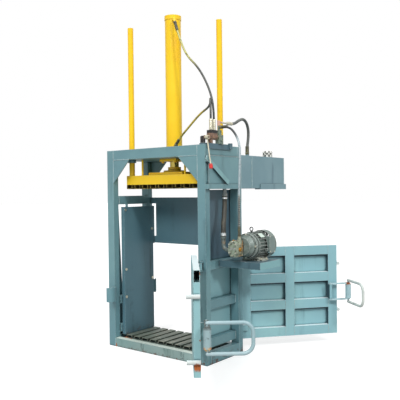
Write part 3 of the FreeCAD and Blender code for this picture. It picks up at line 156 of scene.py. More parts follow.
class Finish:
    """A material built from object coordinates, layer by layer."""

    def __init__(self, name, base, rough=0.5, metal=0.0):
        """Starts with one colour, one roughness and one share of metal all over."""
        self.material = bpy.data.materials.new(name)
        self.material.use_nodes = True
        self.tree = self.material.node_tree
        self.shader = self.tree.nodes["Principled BSDF"]
        self.place = self.add("ShaderNodeTexCoord").outputs["Object"]
        self.coat = colour(*base)
        self.rough = rough
        self.metal = metal
        self.height = None

    def add(self, kind, sockets=None, **settings):
        """One node of this material."""
        return add_node(self.tree, kind, sockets, **settings)

    def calc(self, kind, one, two=None, three=None, **settings):
        """Arithmetic of up to three values."""
        return self.add("ShaderNodeMath", {0: one, 1: two, 2: three}, operation=kind, **settings).outputs[0]

    def measure(self, kind, one, two):
        """One number from two vectors: their dot product, or the distance between them."""
        return self.add("ShaderNodeVectorMath", {0: one, 1: two}, operation=kind).outputs["Value"]

    def where(self, axis):
        """The place on one axis, in metres."""
        return self.add("ShaderNodeSeparateXYZ", {"Vector": self.place}).outputs[axis]

    def noise(self, scale, detail=4.0, rough=0.55, stretch=(1, 1, 1), shift=(0, 0, 0)):
        """Fractal noise, 0 to 1, at a scale per metre, with the axes stretched."""
        there = self.add("ShaderNodeMapping", {"Vector": self.place, "Scale": stretch, "Location": shift})
        return self.add("ShaderNodeTexNoise", {"Vector": there.outputs[0], "Scale": scale, "Detail": detail,
                                               "Roughness": rough}).outputs["Fac"]

    def step(self, value, low, high):
        """0 below low, 1 above high, smooth between; low above high turns it round."""
        return self.add("ShaderNodeMapRange", {"Value": value, "From Min": low, "From Max": high},
                        interpolation_type="SMOOTHSTEP").outputs["Result"]

    def both(self, one, two):
        """Where two masks meet, or a mask weakened to a share."""
        return self.calc("MULTIPLY", one, two, use_clamp=True)

    def either(self, one, two):
        """The stronger of two masks."""
        return self.calc("MAXIMUM", one, two, use_clamp=True)

    def edges(self, radius):
        """1 on edges within a radius, by how far the rounded normal leans from the face's own."""
        rounded = self.add("ShaderNodeBevel", {"Radius": radius}, samples=6).outputs[0]
        flat = self.add("ShaderNodeNewGeometry").outputs["Normal"]
        return self.step(self.measure("DOT_PRODUCT", rounded, flat), 0.99, 0.80)

    def hollows(self, reach=0.03, low=0.80, high=0.42):
        """1 in inner corners, where dirt stays and shade falls, by how much of the half sphere over a point
        is shut off.
        """
        shut = self.add("ShaderNodeAmbientOcclusion", {"Distance": reach}, samples=8).outputs["AO"]
        return self.step(shut, low, high)

    def inside(self, low, high, soft=0.002):
        """1 inside a box between two corners, in metres, where None leaves a side open."""
        mask = None
        for axis, (start, end) in enumerate(zip(low, high)):
            for limit, sign in ((start, 1), (end, -1)):
                if limit is not None:
                    side = self.step(self.where(axis), limit - sign * soft, limit + sign * soft)
                    mask = side if mask is None else self.both(mask, side)
        return mask

    def between(self, low, high, soft=0.002):
        """1 between two heights, in metres."""
        return self.inside((None, None, low), (None, None, high), soft)

    def facing(self, direction):
        """1 on faces that look along a direction of length 1, as the part stands."""
        face = self.add("ShaderNodeNewGeometry").outputs["Normal"]
        own = self.add("ShaderNodeVectorTransform", {"Vector": face}, vector_type="NORMAL",
                       convert_from="WORLD", convert_to="OBJECT").outputs[0]
        return self.step(self.measure("DOT_PRODUCT", own, direction), 0.80, 0.95)

    def before(self, direction, limit):
        """1 where the place, measured along a direction, is less than a limit, in metres."""
        return self.step(self.measure("DOT_PRODUCT", self.place, direction), limit + 0.0005, limit - 0.0005)

    def near(self, point, radius):
        """1 near a point, fading to 0 at a radius, with a ragged outline."""
        reach = self.measure("DISTANCE", self.place, point)
        fade = self.add("ShaderNodeMapRange", {"Value": reach, "From Min": radius, "From Max": 0.0})
        grain = self.calc("MULTIPLY", self.noise(30.0, 6.0, 0.65), 1.6)
        return self.step(self.both(fade.outputs["Result"], grain), 0.22, 0.48)

    def along(self, axis, low, high):
        """A ramp on one axis, from 0 at low to 1 at high, in metres."""
        return self.step(self.where(axis), low, high)

    def layer(self, mask, tint, rough=None, metal=None):
        """Lays a colour over what is there where the mask is, with its own roughness and metal."""
        joint = self.add("ShaderNodeMix", {"Factor": mask}, data_type="RGBA")
        feed(self.tree, joint.inputs[6], self.coat)
        feed(self.tree, joint.inputs[7], colour(*tint))
        self.coat = joint.outputs[2]
        if rough is not None:
            self.rough = self.mixed(mask, self.rough, rough)
        if metal is not None:
            self.metal = self.mixed(mask, self.metal, metal)

    def rubbed(self, radius, grain, low, high, tint, rough, metal=None):
        """Lays a colour on the edges within a radius, where a grain is above a level."""
        self.layer(self.both(self.edges(radius), self.step(grain, low, high)), tint, rough, metal)

    def dirt_and_shade(self, share, tint, rough, *how):
        """Lays a share of dirt and painted shade in the inner corners."""
        self.layer(self.both(self.hollows(*how), share), tint, rough)

    def mixed(self, mask, one, two):
        """A number that goes from one to two with the mask."""
        joint = self.add("ShaderNodeMix", {"Factor": mask}, data_type="FLOAT")
        feed(self.tree, joint.inputs[2], one)
        feed(self.tree, joint.inputs[3], two)
        return joint.outputs[0]

    def relief(self, height, depth):
        """Adds a height pattern, in metres, to the bump."""
        raised = self.calc("MULTIPLY", height, depth)
        self.height = raised if self.height is None else self.calc("ADD", self.height, raised)

    def done(self, corner=0.0):
        """Joins the layers to the shader, with edges rounded to the look of a small radius."""
        feed(self.tree, self.shader.inputs["Base Color"], self.coat)
        feed(self.tree, self.shader.inputs["Roughness"], self.rough)
        feed(self.tree, self.shader.inputs["Metallic"], self.metal)
        bump = self.add("ShaderNodeBump", {"Strength": 1.0, "Distance": 1.0, "Height": self.height})
        if corner:
            rounded = self.add("ShaderNodeBevel", {"Radius": corner}, samples=4).outputs[0]
            feed(self.tree, bump.inputs["Normal"], rounded)
        feed(self.tree, self.shader.inputs["Normal"], bump.outputs[0])
        return self.material


FRAME_TINTS = ((104, 143, 151), (116, 155, 160), (82, 114, 120))
DOOR_TINTS = ((134, 178, 186), (146, 190, 193), (110, 150, 158))
# pale door edges: worn paint that also stands as a painted highlight on the lit edges
DOOR_RIM_WEAR_AND_HIGHLIGHT = (206, 222, 220)
RUST = (176, 96, 44)
DARK_RUST = (98, 58, 38)
SHADOW = (34, 54, 62)
RUBBED = (168, 186, 182)
CREAM = (216, 212, 190)

# how far the doors stand open, the height of their rails, the width of their stiles, and how far the
# pins' axis stands out from their ribbed face
OPEN = math.radians(130)
RAIL = 0.092
STILE = 0.095
DOOR_SET = 0.030

# side of the machine, pin (x, y), gap at the pin, width, height, foot, and the bars' ends along the door
DOORS = {
    "front": {"sign": 1, "pin": (0.592, -0.317), "gap": 0.053, "wide": 0.994, "tall": 0.780, "low": 0.230,
              "ends": -1.6718},
    "rear": {"sign": -1, "pin": (0.560, 0.323), "gap": 0.042, "wide": 1.018, "tall": 0.905, "low": 0.105,
             "ends": -1.6688},
}


def door_axes(door):
    """The direction from a door's free edge to its pins, and the one out of its ribbed face."""
    across = door["sign"] * math.sin(OPEN)
    return (math.cos(OPEN), across, 0.0), (abs(across), -door["sign"] * math.cos(OPEN), 0.0)


def cell_size(door):
    """Width and height of one of a door's six cells, between three stiles and four rails."""
    return (door["wide"] - 3 * STILE) / 2, (door["tall"] - 4 * RAIL) / 3


def sprayed(name, coat, faded, dirty, chips=0.5, rust_spots=(), foot=0.0, gloss=0.38,
            dark=SHADOW, rim=RUBBED, lit_tops=None, sides=None, end=None, shaded=None):
    """Sprayed machine paint: broad fading, dirt that has run down, rubbed edges, small chips and rust, with
    dirt and painted shade in its inner corners.

    Faces that look up, or to the right, can take a lighter colour as painted light; what lies before an end
    along a direction can have a coat of its own. Faces that look along the shaded direction get painted
    shade.
    The rim colour on the edges is worn paint; on the doors and the motor shelf it is also a painted
    highlight, and on the diagonal brace it is painted shade.
    """
    paint = Finish(name, coat, gloss)
    paint.layer(paint.step(paint.noise(1.3, 5.0), 0.40, 0.66), faded)
    runs = paint.noise(9.0, 5.0, 0.6, (1.0, 1.0, 0.09))
    cloud = paint.noise(3.1, 6.0, 0.62, shift=(4, 1, 7))
    paint.layer(paint.both(paint.step(runs, 0.50, 0.72), paint.step(cloud, 0.46, 0.62)), dirty, 0.55)
    # dirt and painted shade in the inner corners, in the dark colour
    paint.dirt_and_shade(0.75, dark, 0.6)
    if end:
        paint.layer(paint.before(*end), (196, 204, 202), 0.4)
    # painted light: a lighter colour on faces that look up
    if lit_tops:
        paint.layer(paint.facing((0, 0, 1)), lit_tops)
    # painted light: a lighter colour on faces that look to the right
    if sides:
        paint.layer(paint.facing((1, 0, 0)), sides)
    # painted shade on faces that look along the shaded direction
    if shaded:
        paint.layer(paint.facing(shaded), (46, 70, 80), 0.55)
    edge = paint.edges(0.005)
    flecks = paint.noise(60.0, 7.0, 0.7)
    # edges in the rim colour: worn paint, which the doors and the shelf also use as a painted highlight and
    # the brace as painted shade
    paint.layer(paint.both(edge, paint.step(flecks, 0.40, 0.56)), rim, 0.5)
    worn = paint.both(edge, paint.step(flecks, 0.60 - 0.06 * chips, 0.66 - 0.06 * chips))
    specks = paint.noise(24.0, 8.0, 0.74, shift=(9, 3, 2))
    bare = paint.either(worn, paint.step(specks, 0.735 - 0.03 * chips, 0.75 - 0.03 * chips))
    paint.layer(bare, DARK_RUST, 0.75)
    for point, radius in rust_spots:
        spot = paint.near(point, radius)
        paint.layer(spot, RUST, 0.82)
        paint.layer(paint.both(spot, paint.step(paint.noise(90.0, 4.0), 0.5, 0.62)), DARK_RUST, 0.85)
    if foot:
        low = paint.along("Z", foot, 0.0)
        grain = paint.step(paint.noise(26.0, 7.0, 0.7, shift=(1, 8, 3)), 0.50, 0.60)
        paint.layer(paint.both(low, grain), DARK_RUST, 0.8)
    paint.relief(paint.noise(220.0, 2.0), 0.00018)
    paint.relief(paint.noise(7.0, 2.0), 0.0009)
    paint.relief(bare, -0.00025)
    return paint.done(0.003)


def door_frame(side, rust_spots=()):
    """Paint of a door's rails and stiles: painted light on the ledges, bright bar ends, painted shade on
    faces towards the pins.
    """
    to_pins = door_axes(DOORS[side])[0]
    return sprayed(side + "_door_coat", *DOOR_TINTS, chips=0.3, rust_spots=rust_spots, rim=DOOR_RIM_WEAR_AND_HIGHLIGHT,
                   lit_tops=(232, 246, 248), end=(to_pins, DOORS[side]["ends"]), shaded=to_pins)


def door_sheet(side):
    """Door sheet, with a painted shadow outside, under each rail.

    The painted shadow lies where the height over the first cell's foot, modulo one cell and one rail, passes
    the cell's height less a ragged 10 to 26 mm.
    """
    paint = Finish(side + "_sheet_coat", DOOR_TINTS[0], 0.38)
    cell = cell_size(DOORS[side])[1]
    paint.layer(paint.step(paint.noise(1.3, 5.0), 0.40, 0.66), DOOR_TINTS[1])
    paint.layer(paint.step(paint.noise(9.0, 5.0, 0.6, (1.0, 1.0, 0.09)), 0.54, 0.74), DOOR_TINTS[2], 0.55)
    # painted shadow in a band under each rail
    start = paint.calc("SUBTRACT", paint.where("Z"), DOORS[side]["low"] + RAIL - 0.002)
    rise = paint.calc("FLOORED_MODULO", start, cell + RAIL)
    ragged = paint.calc("MULTIPLY_ADD", paint.noise(60.0, 4.0), 0.006, rise)
    rail_shadow = paint.step(ragged, cell - 0.026, cell - 0.010)
    paint.layer(paint.both(rail_shadow, paint.facing(door_axes(DOORS[side])[1])), (52, 74, 84), 0.5)
    # dirt and painted shade in the inner corners
    paint.dirt_and_shade(0.8, SHADOW, 0.6, 0.035)
    paint.relief(paint.noise(7.0, 2.0), 0.0009)
    return paint.done(0.003)


def side_panel(name):
    """Side panel paint: darker slate above as painted shade, and lighter below as painted light, where
    daylight reaches between the rails.
    """
    paint = Finish(name, (80, 104, 118), 0.4)
    paint.layer(paint.step(paint.noise(1.6, 5.0), 0.40, 0.66), (88, 116, 128))
    # painted light below 0.80 m; the slate above 0.98 m is painted shade
    paint.layer(paint.along("Z", 0.98, 0.80), (134, 178, 184))
    runs = paint.noise(9.0, 5.0, 0.6, (1.0, 1.0, 0.09))
    paint.layer(paint.step(runs, 0.54, 0.74), (84, 116, 124), 0.55)
    # dirt and painted shade in the inner corners
    paint.dirt_and_shade(0.75, SHADOW, 0.6)
    paint.rubbed(0.005, paint.noise(60.0, 7.0, 0.7), 0.40, 0.56, RUBBED, 0.5)
    paint.relief(paint.noise(7.0, 2.0), 0.0009)
    return paint.done(0.003)


def polished(name, coat, rough, scratch_axis=(1, 1, 1)):
    """Machined or plated steel with fine scratches and a film of oil in patches."""
    steel = Finish(name, coat, rough, 0.85)
    lines = steel.noise(180.0, 3.0, 0.6, scratch_axis)
    steel.rough = steel.mixed(steel.step(lines, 0.35, 0.7), rough, rough + 0.2)
    steel.layer(steel.step(steel.noise(8.0, 6.0, 0.65), 0.58, 0.74), (92, 88, 78), 0.5, 0.5)
    steel.relief(lines, 0.00008)
    return steel.done(0.0015)


def cast(name, coat, stain, dark, rough=0.6):
    """A painted casting: a grained skin, stains in blotches and dark grease in patches."""
    metal = Finish(name, coat, rough)
    blotch = metal.noise(22.0, 7.0, 0.66)
    metal.layer(metal.step(blotch, 0.50, 0.62), stain, rough + 0.1)
    metal.layer(metal.step(metal.noise(40.0, 6.0, 0.7, shift=(2, 6, 4)), 0.58, 0.68), dark, 0.5)
    metal.rubbed(0.003, blotch, 0.42, 0.55, (176, 176, 164), 0.45)
    metal.relief(metal.noise(300.0, 3.0), 0.0003)
    return metal.done(0.002)


def worn_floor(name):
    """Floor channels polished by bales: grey-green paint, bare tracks along them, dirt in patches."""
    steel = Finish(name, (108, 118, 106), 0.5)
    steel.layer(steel.step(steel.noise(5.0, 7.0, 0.65, (1.0, 0.35, 1.0)), 0.46, 0.62), (84, 96, 90), 0.55)
    tracks = steel.noise(50.0, 5.0, 0.6, (1.0, 0.05, 1.0))
    steel.layer(steel.step(tracks, 0.52, 0.68), (146, 146, 130), 0.4, 0.3)
    steel.layer(steel.step(steel.noise(17.0, 8.0, 0.7, shift=(3, 3, 3)), 0.58, 0.68), (88, 72, 56), 0.8)
    # dirt and painted shade in the inner corners between the channels
    steel.dirt_and_shade(0.9, (26, 26, 22), 0.6, 0.04)
    steel.rubbed(0.004, tracks, 0.40, 0.6, (188, 186, 170), 0.35, 0.4)
    steel.relief(tracks, 0.0003)
    steel.relief(steel.noise(12.0, 4.0), 0.0015)
    return steel.done(0.002)


def rubber(name, coat, dusty):
    """Hose cover: matt rubber with a fine wrap and a little dust on it."""
    cover = Finish(name, coat, 0.52)
    cover.layer(cover.step(cover.noise(16.0, 6.0), 0.44, 0.68), dusty, 0.68)
    cover.relief(cover.noise(420.0, 2.0), 0.0004)
    return cover.done()


def old_yellow(name, coat, deep, dull, grime_and_shade):
    """Yellow enamel, deeper in broad patches, with olive grime and painted shade in its corners."""
    return sprayed(name, coat, deep, dull, 0.3, gloss=0.34, dark=grime_and_shade, rim=(255, 226, 120))


def latch_steel(name):
    """Thinly painted straps and barrel: pale blue-grey, with beige and orange rust at the lower strap."""
    steel = Finish(name, (146, 172, 176), 0.5)
    grain = steel.noise(30.0, 7.0, 0.68)
    steel.layer(steel.step(grain, 0.55, 0.66), (104, 118, 118), 0.6)
    # dirt and painted shade in the inner corners
    steel.dirt_and_shade(0.8, (44, 46, 44), 0.7, 0.02)
    low_strap = steel.between(0.440, 0.476, 0.012)
    steel.layer(steel.both(low_strap, steel.step(grain, 0.42, 0.50)), (206, 172, 112), 0.75)
    steel.layer(steel.both(low_strap, steel.step(grain, 0.52, 0.58)), (196, 110, 50), 0.8)
    high_strap = steel.between(0.606, 0.640, 0.010)
    steel.layer(high_strap, (92, 104, 104), 0.5)
    steel.layer(steel.both(high_strap, steel.step(grain, 0.56, 0.62)), (150, 100, 70), 0.8)
    steel.rubbed(0.004, grain, 0.42, 0.54, (196, 202, 198), 0.45)
    steel.relief(grain, 0.0008)
    return steel.done(0.002)


def greased_rod(name):
    """Chromed rod tinted gold as a painted reflection of the yellow round it, with a brown film of grease,
    and its collar and disc in the platen's yellow.
    """
    # gold tint: a painted reflection of the yellow parts round the rod
    rod = Finish(name, (206, 186, 96), 0.16, 0.9)
    film = rod.noise(30.0, 5.0, 0.6, (1, 1, 0.25))
    rod.layer(rod.step(film, 0.46, 0.66), (116, 98, 30), 0.3, 0.7)
    painted = rod.between(1.70, 1.8225)
    rod.layer(painted, (250, 208, 40), 0.3, 0.0)
    # dirt and painted shade in the collar's inner corners
    rod.layer(rod.both(painted, rod.hollows(0.03)), (110, 92, 30), 0.6, 0.0)
    rod.relief(film, 0.0002)
    return rod.done(0.0015)


def valve_skin(name):
    """Brown cast valve: black top band and linkage, machined ports above, oily stains."""
    metal = Finish(name, (132, 104, 86), 0.45)
    blotch = metal.noise(34.0, 7.0, 0.66)
    metal.layer(metal.step(blotch, 0.48, 0.60), (166, 128, 102), 0.5)
    metal.layer(metal.step(metal.noise(60.0, 6.0, 0.7, shift=(2, 6, 4)), 0.54, 0.64), (62, 52, 46), 0.4)
    linkage = metal.inside((0.58, -0.290, 2.0), (0.628, -0.2605, 2.075))
    metal.layer(metal.either(metal.between(2.104, 2.134), linkage), (38, 38, 38), 0.45)
    metal.layer(metal.between(2.134, 2.3), CREAM, 0.35, 0.5)
    metal.rubbed(0.003, blotch, 0.42, 0.55, (190, 178, 160), 0.4)
    metal.relief(metal.noise(300.0, 3.0), 0.0003)
    return metal.done(0.002)


def relief_skin(name):
    """Grey-green relief valve with paler machined flats, and copper washers at its top crossing."""
    metal = Finish(name, (122, 140, 128), 0.5)
    blotch = metal.noise(40.0, 7.0, 0.66)
    metal.layer(metal.step(blotch, 0.50, 0.60), (160, 162, 124), 0.55)
    metal.layer(metal.step(metal.noise(70.0, 6.0, 0.7, shift=(2, 6, 4)), 0.54, 0.64), (48, 60, 58), 0.45)
    metal.layer(metal.inside((None, None, 2.179), (None, -0.040, 2.3)), (222, 176, 150), 0.35, 0.5)
    metal.layer(metal.inside((None, -0.040, 2.18), (None, None, 2.3)), CREAM, 0.35, 0.5)
    metal.rubbed(0.003, blotch, 0.42, 0.55, (196, 196, 180), 0.4)
    metal.relief(metal.noise(300.0, 3.0), 0.0003)
    return metal.done(0.002)


def oily_pump(name):
    """Cream cast gear pump: orange-brown oil stains towards the motor, dirt and painted shade in its seams, a
    grained skin.
    """
    metal = Finish(name, (146, 158, 138), 0.4)
    blotch = metal.noise(26.0, 7.0, 0.66)
    toward_motor = metal.along("Y", -0.130, -0.070)
    metal.layer(metal.both(toward_motor, metal.step(blotch, 0.40, 0.54)), (196, 154, 100), 0.5)
    metal.layer(metal.both(toward_motor, metal.step(blotch, 0.56, 0.62)), (128, 84, 48), 0.4)
    metal.layer(metal.step(metal.noise(48.0, 7.0, 0.7, shift=(2, 6, 4)), 0.52, 0.60), (84, 86, 72), 0.4)
    # dirt and painted shade in the seams
    metal.dirt_and_shade(0.85, (38, 34, 26), 0.4, 0.018)
    metal.rubbed(0.003, blotch, 0.40, 0.5, (240, 240, 226), 0.4)
    metal.relief(metal.noise(260.0, 3.0), 0.0004)
    return metal.done(0.003)


def motor_skin(name):
    """Grey motor enamel: black dirt and painted shade between the fins, pale rubbed edges that are also a
    painted highlight, oil stains below, worn feet.
    """
    metal = Finish(name, (118, 132, 126), 0.34)
    blotch = metal.noise(22.0, 7.0, 0.66)
    metal.layer(metal.step(blotch, 0.50, 0.62), (94, 106, 100), 0.45)
    # dirt and painted shade between the fins
    metal.dirt_and_shade(0.95, (24, 26, 26), 0.55, 0.02, 0.9, 0.4)
    oily = metal.both(metal.along("Z", 1.05, 0.95), metal.step(blotch, 0.42, 0.56))
    metal.layer(oily, (56, 58, 54), 0.4)
    feet = metal.both(metal.between(0.90, 0.9645), metal.step(blotch, 0.60, 0.50))
    metal.layer(feet, (186, 190, 176), 0.4)
    # pale edges: rubbed paint and a painted highlight
    metal.rubbed(0.005, blotch, 0.30, 0.46, (230, 234, 228), 0.35)
    metal.relief(metal.noise(300.0, 3.0), 0.0002)
    return metal.done(0.002)


def perforated(name, x, y):
    """Bright pressed metal with rows of dark holes: sin(7 a) sin(k z) above a level, a the angle round it.

    The axis stands at (x, y), and k is 2 pi over a row's pitch of 42 mm.
    """
    metal = Finish(name, (240, 240, 234), 0.3, 0.3)
    across, ahead = metal.calc("SUBTRACT", metal.where("X"), x), metal.calc("SUBTRACT", metal.where("Y"), y)
    angle = metal.calc("ARCTAN2", ahead, across)
    round_it = metal.calc("SINE", metal.calc("MULTIPLY", angle, 7.0))
    up_it = metal.calc("SINE", metal.calc("MULTIPLY", metal.where("Z"), 2 * math.pi / 0.042))
    metal.layer(metal.step(metal.calc("MULTIPLY", round_it, up_it), 0.14, 0.28), (26, 28, 26), 0.5, 0.0)
    metal.layer(metal.step(metal.noise(40.0, 5.0), 0.56, 0.66), (150, 150, 140), 0.45)
    metal.relief(metal.noise(200.0, 3.0), 0.0002)
    return metal.done(0.002)


def cylinder_cover(name, axis, low, high, tint):
    """Hose cover, dark at the valve and coated with a film of the cylinder's overspray past a limit."""
    cover = Finish(name, (56, 60, 58), 0.35)
    grain = cover.noise(60.0, 5.0)
    film = cover.along(axis, low, high)
    cover.layer(cover.step(grain, 0.50, 0.62), (88, 92, 88), 0.4)
    cover.layer(film, tint, 0.35)
    cover.layer(cover.both(film, cover.step(grain, 0.52, 0.62)), (112, 110, 60), 0.4)
    cover.relief(cover.noise(500.0, 2.0), 0.0002)
    return cover.done()


def pressure_cover(name):
    """Hose cover, black at its upper end and rubbed pale where it hangs, with a dark bloom low down."""
    cover = Finish(name, (58, 62, 64), 0.4)
    grain = cover.noise(60.0, 5.0)
    pale = cover.along("Z", 2.09, 2.02)
    cover.layer(pale, (176, 190, 194), 0.35)
    cover.layer(cover.both(pale, cover.step(grain, 0.5, 0.6)), (146, 162, 168), 0.4)
    cover.layer(cover.along("Z", 1.56, 1.50), (78, 86, 92), 0.5)
    cover.relief(cover.noise(500.0, 2.0), 0.0002)
    return cover.done()


# the coat of each slot of the part
finishes = {
    "frame_paint": sprayed("frame_paint_coat", *FRAME_TINTS, chips=0.2, foot=0.10),
    "panel_paint": sprayed("panel_paint_coat", (82, 117, 129), (92, 127, 137), (64, 90, 99),
                           chips=0.1, foot=0.22),
    "door_paint": sprayed("door_paint_coat", *DOOR_TINTS, chips=0.3, rim=DOOR_RIM_WEAR_AND_HIGHLIGHT),
    "tank_paint": sprayed("tank_paint_coat", (112, 145, 154), (128, 158, 166), (94, 124, 134),
                          chips=0.1),
    "yellow_paint": old_yellow("yellow_paint_coat", (255, 206, 22), (255, 214, 38),
                               (240, 186, 30), (120, 92, 20)),
    "floor_paint": worn_floor("floor_channel_steel"),
    "steel_rod": polished("rod_steel", (176, 176, 170), 0.22, (1, 1, 0.04)),
    "bright_steel": polished("plated_steel", CREAM, 0.3),
    "rusty_steel": latch_steel("latch_steel_coat"),
    "motor_paint": motor_skin("motor_grey"),
    "pump_paint": oily_pump("pump_cream"),
    "valve_cast": valve_skin("valve_brown"),
    "relief_cast": relief_skin("relief_green"),
    "hose_rubber": rubber("hose_cover", (60, 63, 64), (100, 104, 103)),
    "knob_red": cast("knob_red_plastic", (218, 56, 54), (200, 54, 50), (120, 40, 38), 0.3),
    "cap_black": perforated("perforated_cap", 0.557, 0.900),
}

# nodes whose coat differs from that of their slot
special = {
    "front_door_frame": door_frame("front", (((1.223, -1.154, 0.314), 0.07), ((1.242, -1.146, 0.500), 0.014),
                                             ((1.242, -1.146, 0.985), 0.02))),
    "rear_door_frame": door_frame("rear"),
    "rear_door_sheet": door_sheet("rear"),
    "front_door_sheet": door_sheet("front"),
    # terminal box: near black dirt and painted shade in its inner corners
    "terminal_box": sprayed("terminal_coat", (120, 136, 132), (134, 150, 144), (92, 104, 98),
                            dark=(30, 32, 32), rim=(224, 228, 222)),
    # front sill: painted light on the faces that look up
    "front_sill": sprayed("sill_paint_coat", (126, 158, 156), (150, 174, 170), (104, 130, 124),
                          chips=0.2, foot=0.04, rust_spots=(((-0.552, -0.286, 0.012), 0.045),),
                          lit_tops=(214, 228, 218)),
    "platen_slats": old_yellow("platen_channel_coat", (62, 56, 28), (80, 72, 34),
                               (48, 44, 24), (10, 10, 6)),
    "front_latch_handle": sprayed("handle_coat", (150, 178, 184), (166, 188, 192),
                                  (126, 150, 156), gloss=0.24, rim=(214, 226, 226)),
    "piston_rod": greased_rod("greased_rod"),
    "valve_bracket": sprayed("bracket_coat", (74, 102, 116), (82, 112, 124), (54, 74, 84)),
    "rear_latch_handle": sprayed("rear_handle_coat", (198, 206, 202), (212, 216, 208),
                                 (150, 162, 158), rim=(230, 232, 226)),
    "rear_latch_link": sprayed("rear_link_coat", (160, 192, 198), (178, 204, 206),
                               (112, 140, 146), rim=(226, 232, 228),
                               rust_spots=(((1.319, 1.206, 0.628), 0.055), ((1.319, 1.206, 0.456), 0.022))),
    # motor shelf: a darker coat as painted shade, painted light on the faces that look to the right, and pale
    # edges that are worn paint and a painted highlight
    "motor_shelf": sprayed("shelf_coat", (78, 104, 114), (88, 118, 128), (54, 74, 84),
                           chips=0.4, rim=(196, 208, 204), sides=(124, 172, 176)),
    # diagonal brace: dark edges in the rim colour and darker faces that look to the front and down, both
    # painted shade
    "diagonal_brace": sprayed("brace_coat", (126, 168, 172), (134, 176, 178), (104, 140, 146),
                              chips=0.1, rim=(48, 78, 88), shaded=(0, -0.7071, -0.7071)),
    "right_side_panel": side_panel("side_panel_coat"),
    "floor_plate": sprayed("floor_plate_coat", (84, 98, 92), (98, 110, 100), (60, 66, 58),
                           rust_spots=(((-0.515, -0.225, 0.086), 0.12), ((-0.400, -0.235, 0.086), 0.05))),
    "suction_elbow": cast("elbow_cast", (96, 106, 102), (126, 116, 100), (54, 58, 56), 0.4),
    "suction_fitting": cast("fitting_cast", (84, 92, 92), (150, 152, 146), (44, 48, 48), 0.4),
    "lifting_eye": cast("eye_cast", (60, 64, 64), (84, 88, 88), (36, 38, 38), 0.4),
}
hose_covers = {
    "top_hose": cylinder_cover("top_hose_cover", "Z", 2.72, 2.90, (196, 192, 118)),
    "bottom_hose": cylinder_cover("bottom_hose_cover", "X", 0.47, 0.38, (190, 168, 62)),
    "pressure_hose": pressure_cover("pressure_hose_cover"),
    "return_hose": rubber("return_hose_cover", (84, 88, 86), (116, 120, 116)),
    "suction_hose": rubber("suction_hose_cover", (48, 48, 42), (78, 76, 64)),
}

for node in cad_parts.values():
    for held in node.material_slots:
        if held.material and held.material.name in finishes:
            held.material = finishes[held.material.name]

for node_name, finish in special.items():
    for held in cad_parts[node_name].material_slots:
        held.material = finish

for hose_name, (hose_diameter, hose_length, hose_route) in HOSES.items():
    hose_piece = lay_hose(hose_name, hose_diameter, hose_route, hose_covers[hose_name])


# ---- surfaces ----

def skin(name, grids, slot, body="frame", finish=None):
    """One mesh from grids of points, whose rows go along a shape and whose columns close on themselves.

    Point (r, c) joins (r, c + 1), (r + 1, c + 1) and (r + 1, c), with c counted round; then rings that
    shrink to a point are merged into a pole.
    """
    points, faces, first = [], [], 0
    for grid in grids:
        rows, columns = grid.shape[:2]
        here = first + np.arange(rows * columns).reshape(rows, columns)
        beside = np.roll(here, -1, axis=1)
        faces.append(np.stack([here[:-1], beside[:-1], beside[1:], here[1:]], axis=-1).reshape(-1, 4))
        points.append(grid.reshape(-1, 3))
        first += rows * columns
    mesh = bpy.data.meshes.new(name + "_skin")
    mesh.from_pydata(np.concatenate(points).tolist(), [], np.concatenate(faces).tolist())
    welded = bmesh.new()
    welded.from_mesh(mesh)
    bmesh.ops.remove_doubles(welded, verts=welded.verts, dist=1e-6)
    welded.to_mesh(mesh)
    welded.free()
    mesh.polygons.foreach_set("use_smooth", np.ones(len(mesh.polygons), bool))
    mesh.set_sharp_from_angle(angle=math.radians(35))
    mesh.materials.append(finish or finishes[slot])
    made = bpy.data.objects.new(name, mesh)
    bpy.context.collection.objects.link(made)
    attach(made, body)


def rings(centres, ahead, radii, sides, turn=0.0):
    """Rings of points square to a direction: centre + radius (cos a N + sin a B), N across, B = T x N."""
    ahead = ahead / np.linalg.norm(ahead, axis=1, keepdims=True)
    guide = np.where(np.abs(ahead[:, 2:3]) > 0.9, [[0.0, 1.0, 0.0]], [[0.0, 0.0, 1.0]])
    if abs(ahead[0, 2]) > 0.9 or abs(ahead[-1, 2]) > 0.9:
        guide = np.broadcast_to([[0.0, 1.0, 0.0]], ahead.shape)
    across = np.cross(guide, ahead)
    across /= np.linalg.norm(across, axis=1, keepdims=True)
    beside = np.cross(ahead, across)
    angle = np.linspace(0, 2 * np.pi, sides, endpoint=False) + turn
    radii = np.broadcast_to(np.asarray(radii, float).reshape(len(centres), -1), (len(centres), sides))
    return (centres[:, None] + radii[..., None] * (np.cos(angle)[None, :, None] * across[:, None]
                                                    + np.sin(angle)[None, :, None] * beside[:, None]))


def turned(foot, axis, profile, sides=24, turn=0.0):
    """A lathed shape: profile lists (distance along the axis, radius), closed where the radius is 0."""
    profile = np.array(profile, float)
    axis = np.array(axis, float) / np.linalg.norm(axis)
    centres = np.array(foot, float) + profile[:, :1] * axis
    return rings(centres, np.repeat(axis[None], len(profile), 0), profile[:, 1], sides, turn)


def along(path, radii, sides=16):
    """A round skin along a path, square to its slope, which is the difference of neighbouring points."""
    path = np.asarray(path, float)
    return rings(path, np.gradient(path, axis=0), radii, sides)


def bead(start, end, radius, ripple=0.008, seed=0.0):
    """A weld bead: its radius swells once per ripple, |sin|, wanders slowly and closes at both ends."""
    start, end = np.array(start, float), np.array(end, float)
    length = np.linalg.norm(end - start)
    rows = max(8, int(length / ripple * 4))
    t = np.linspace(0, 1, rows)
    s = t * length
    swell = radius * (0.82 + 0.26 * np.abs(np.sin(np.pi * s / ripple + seed)) + 0.12 * np.sin(31 * s + seed))
    shut = np.sqrt(np.clip(1 - (np.abs(2 * t - 1)) ** (2 * rows / 6), 0, 1))
    return along(start + t[:, None] * (end - start), swell * shut, 7)


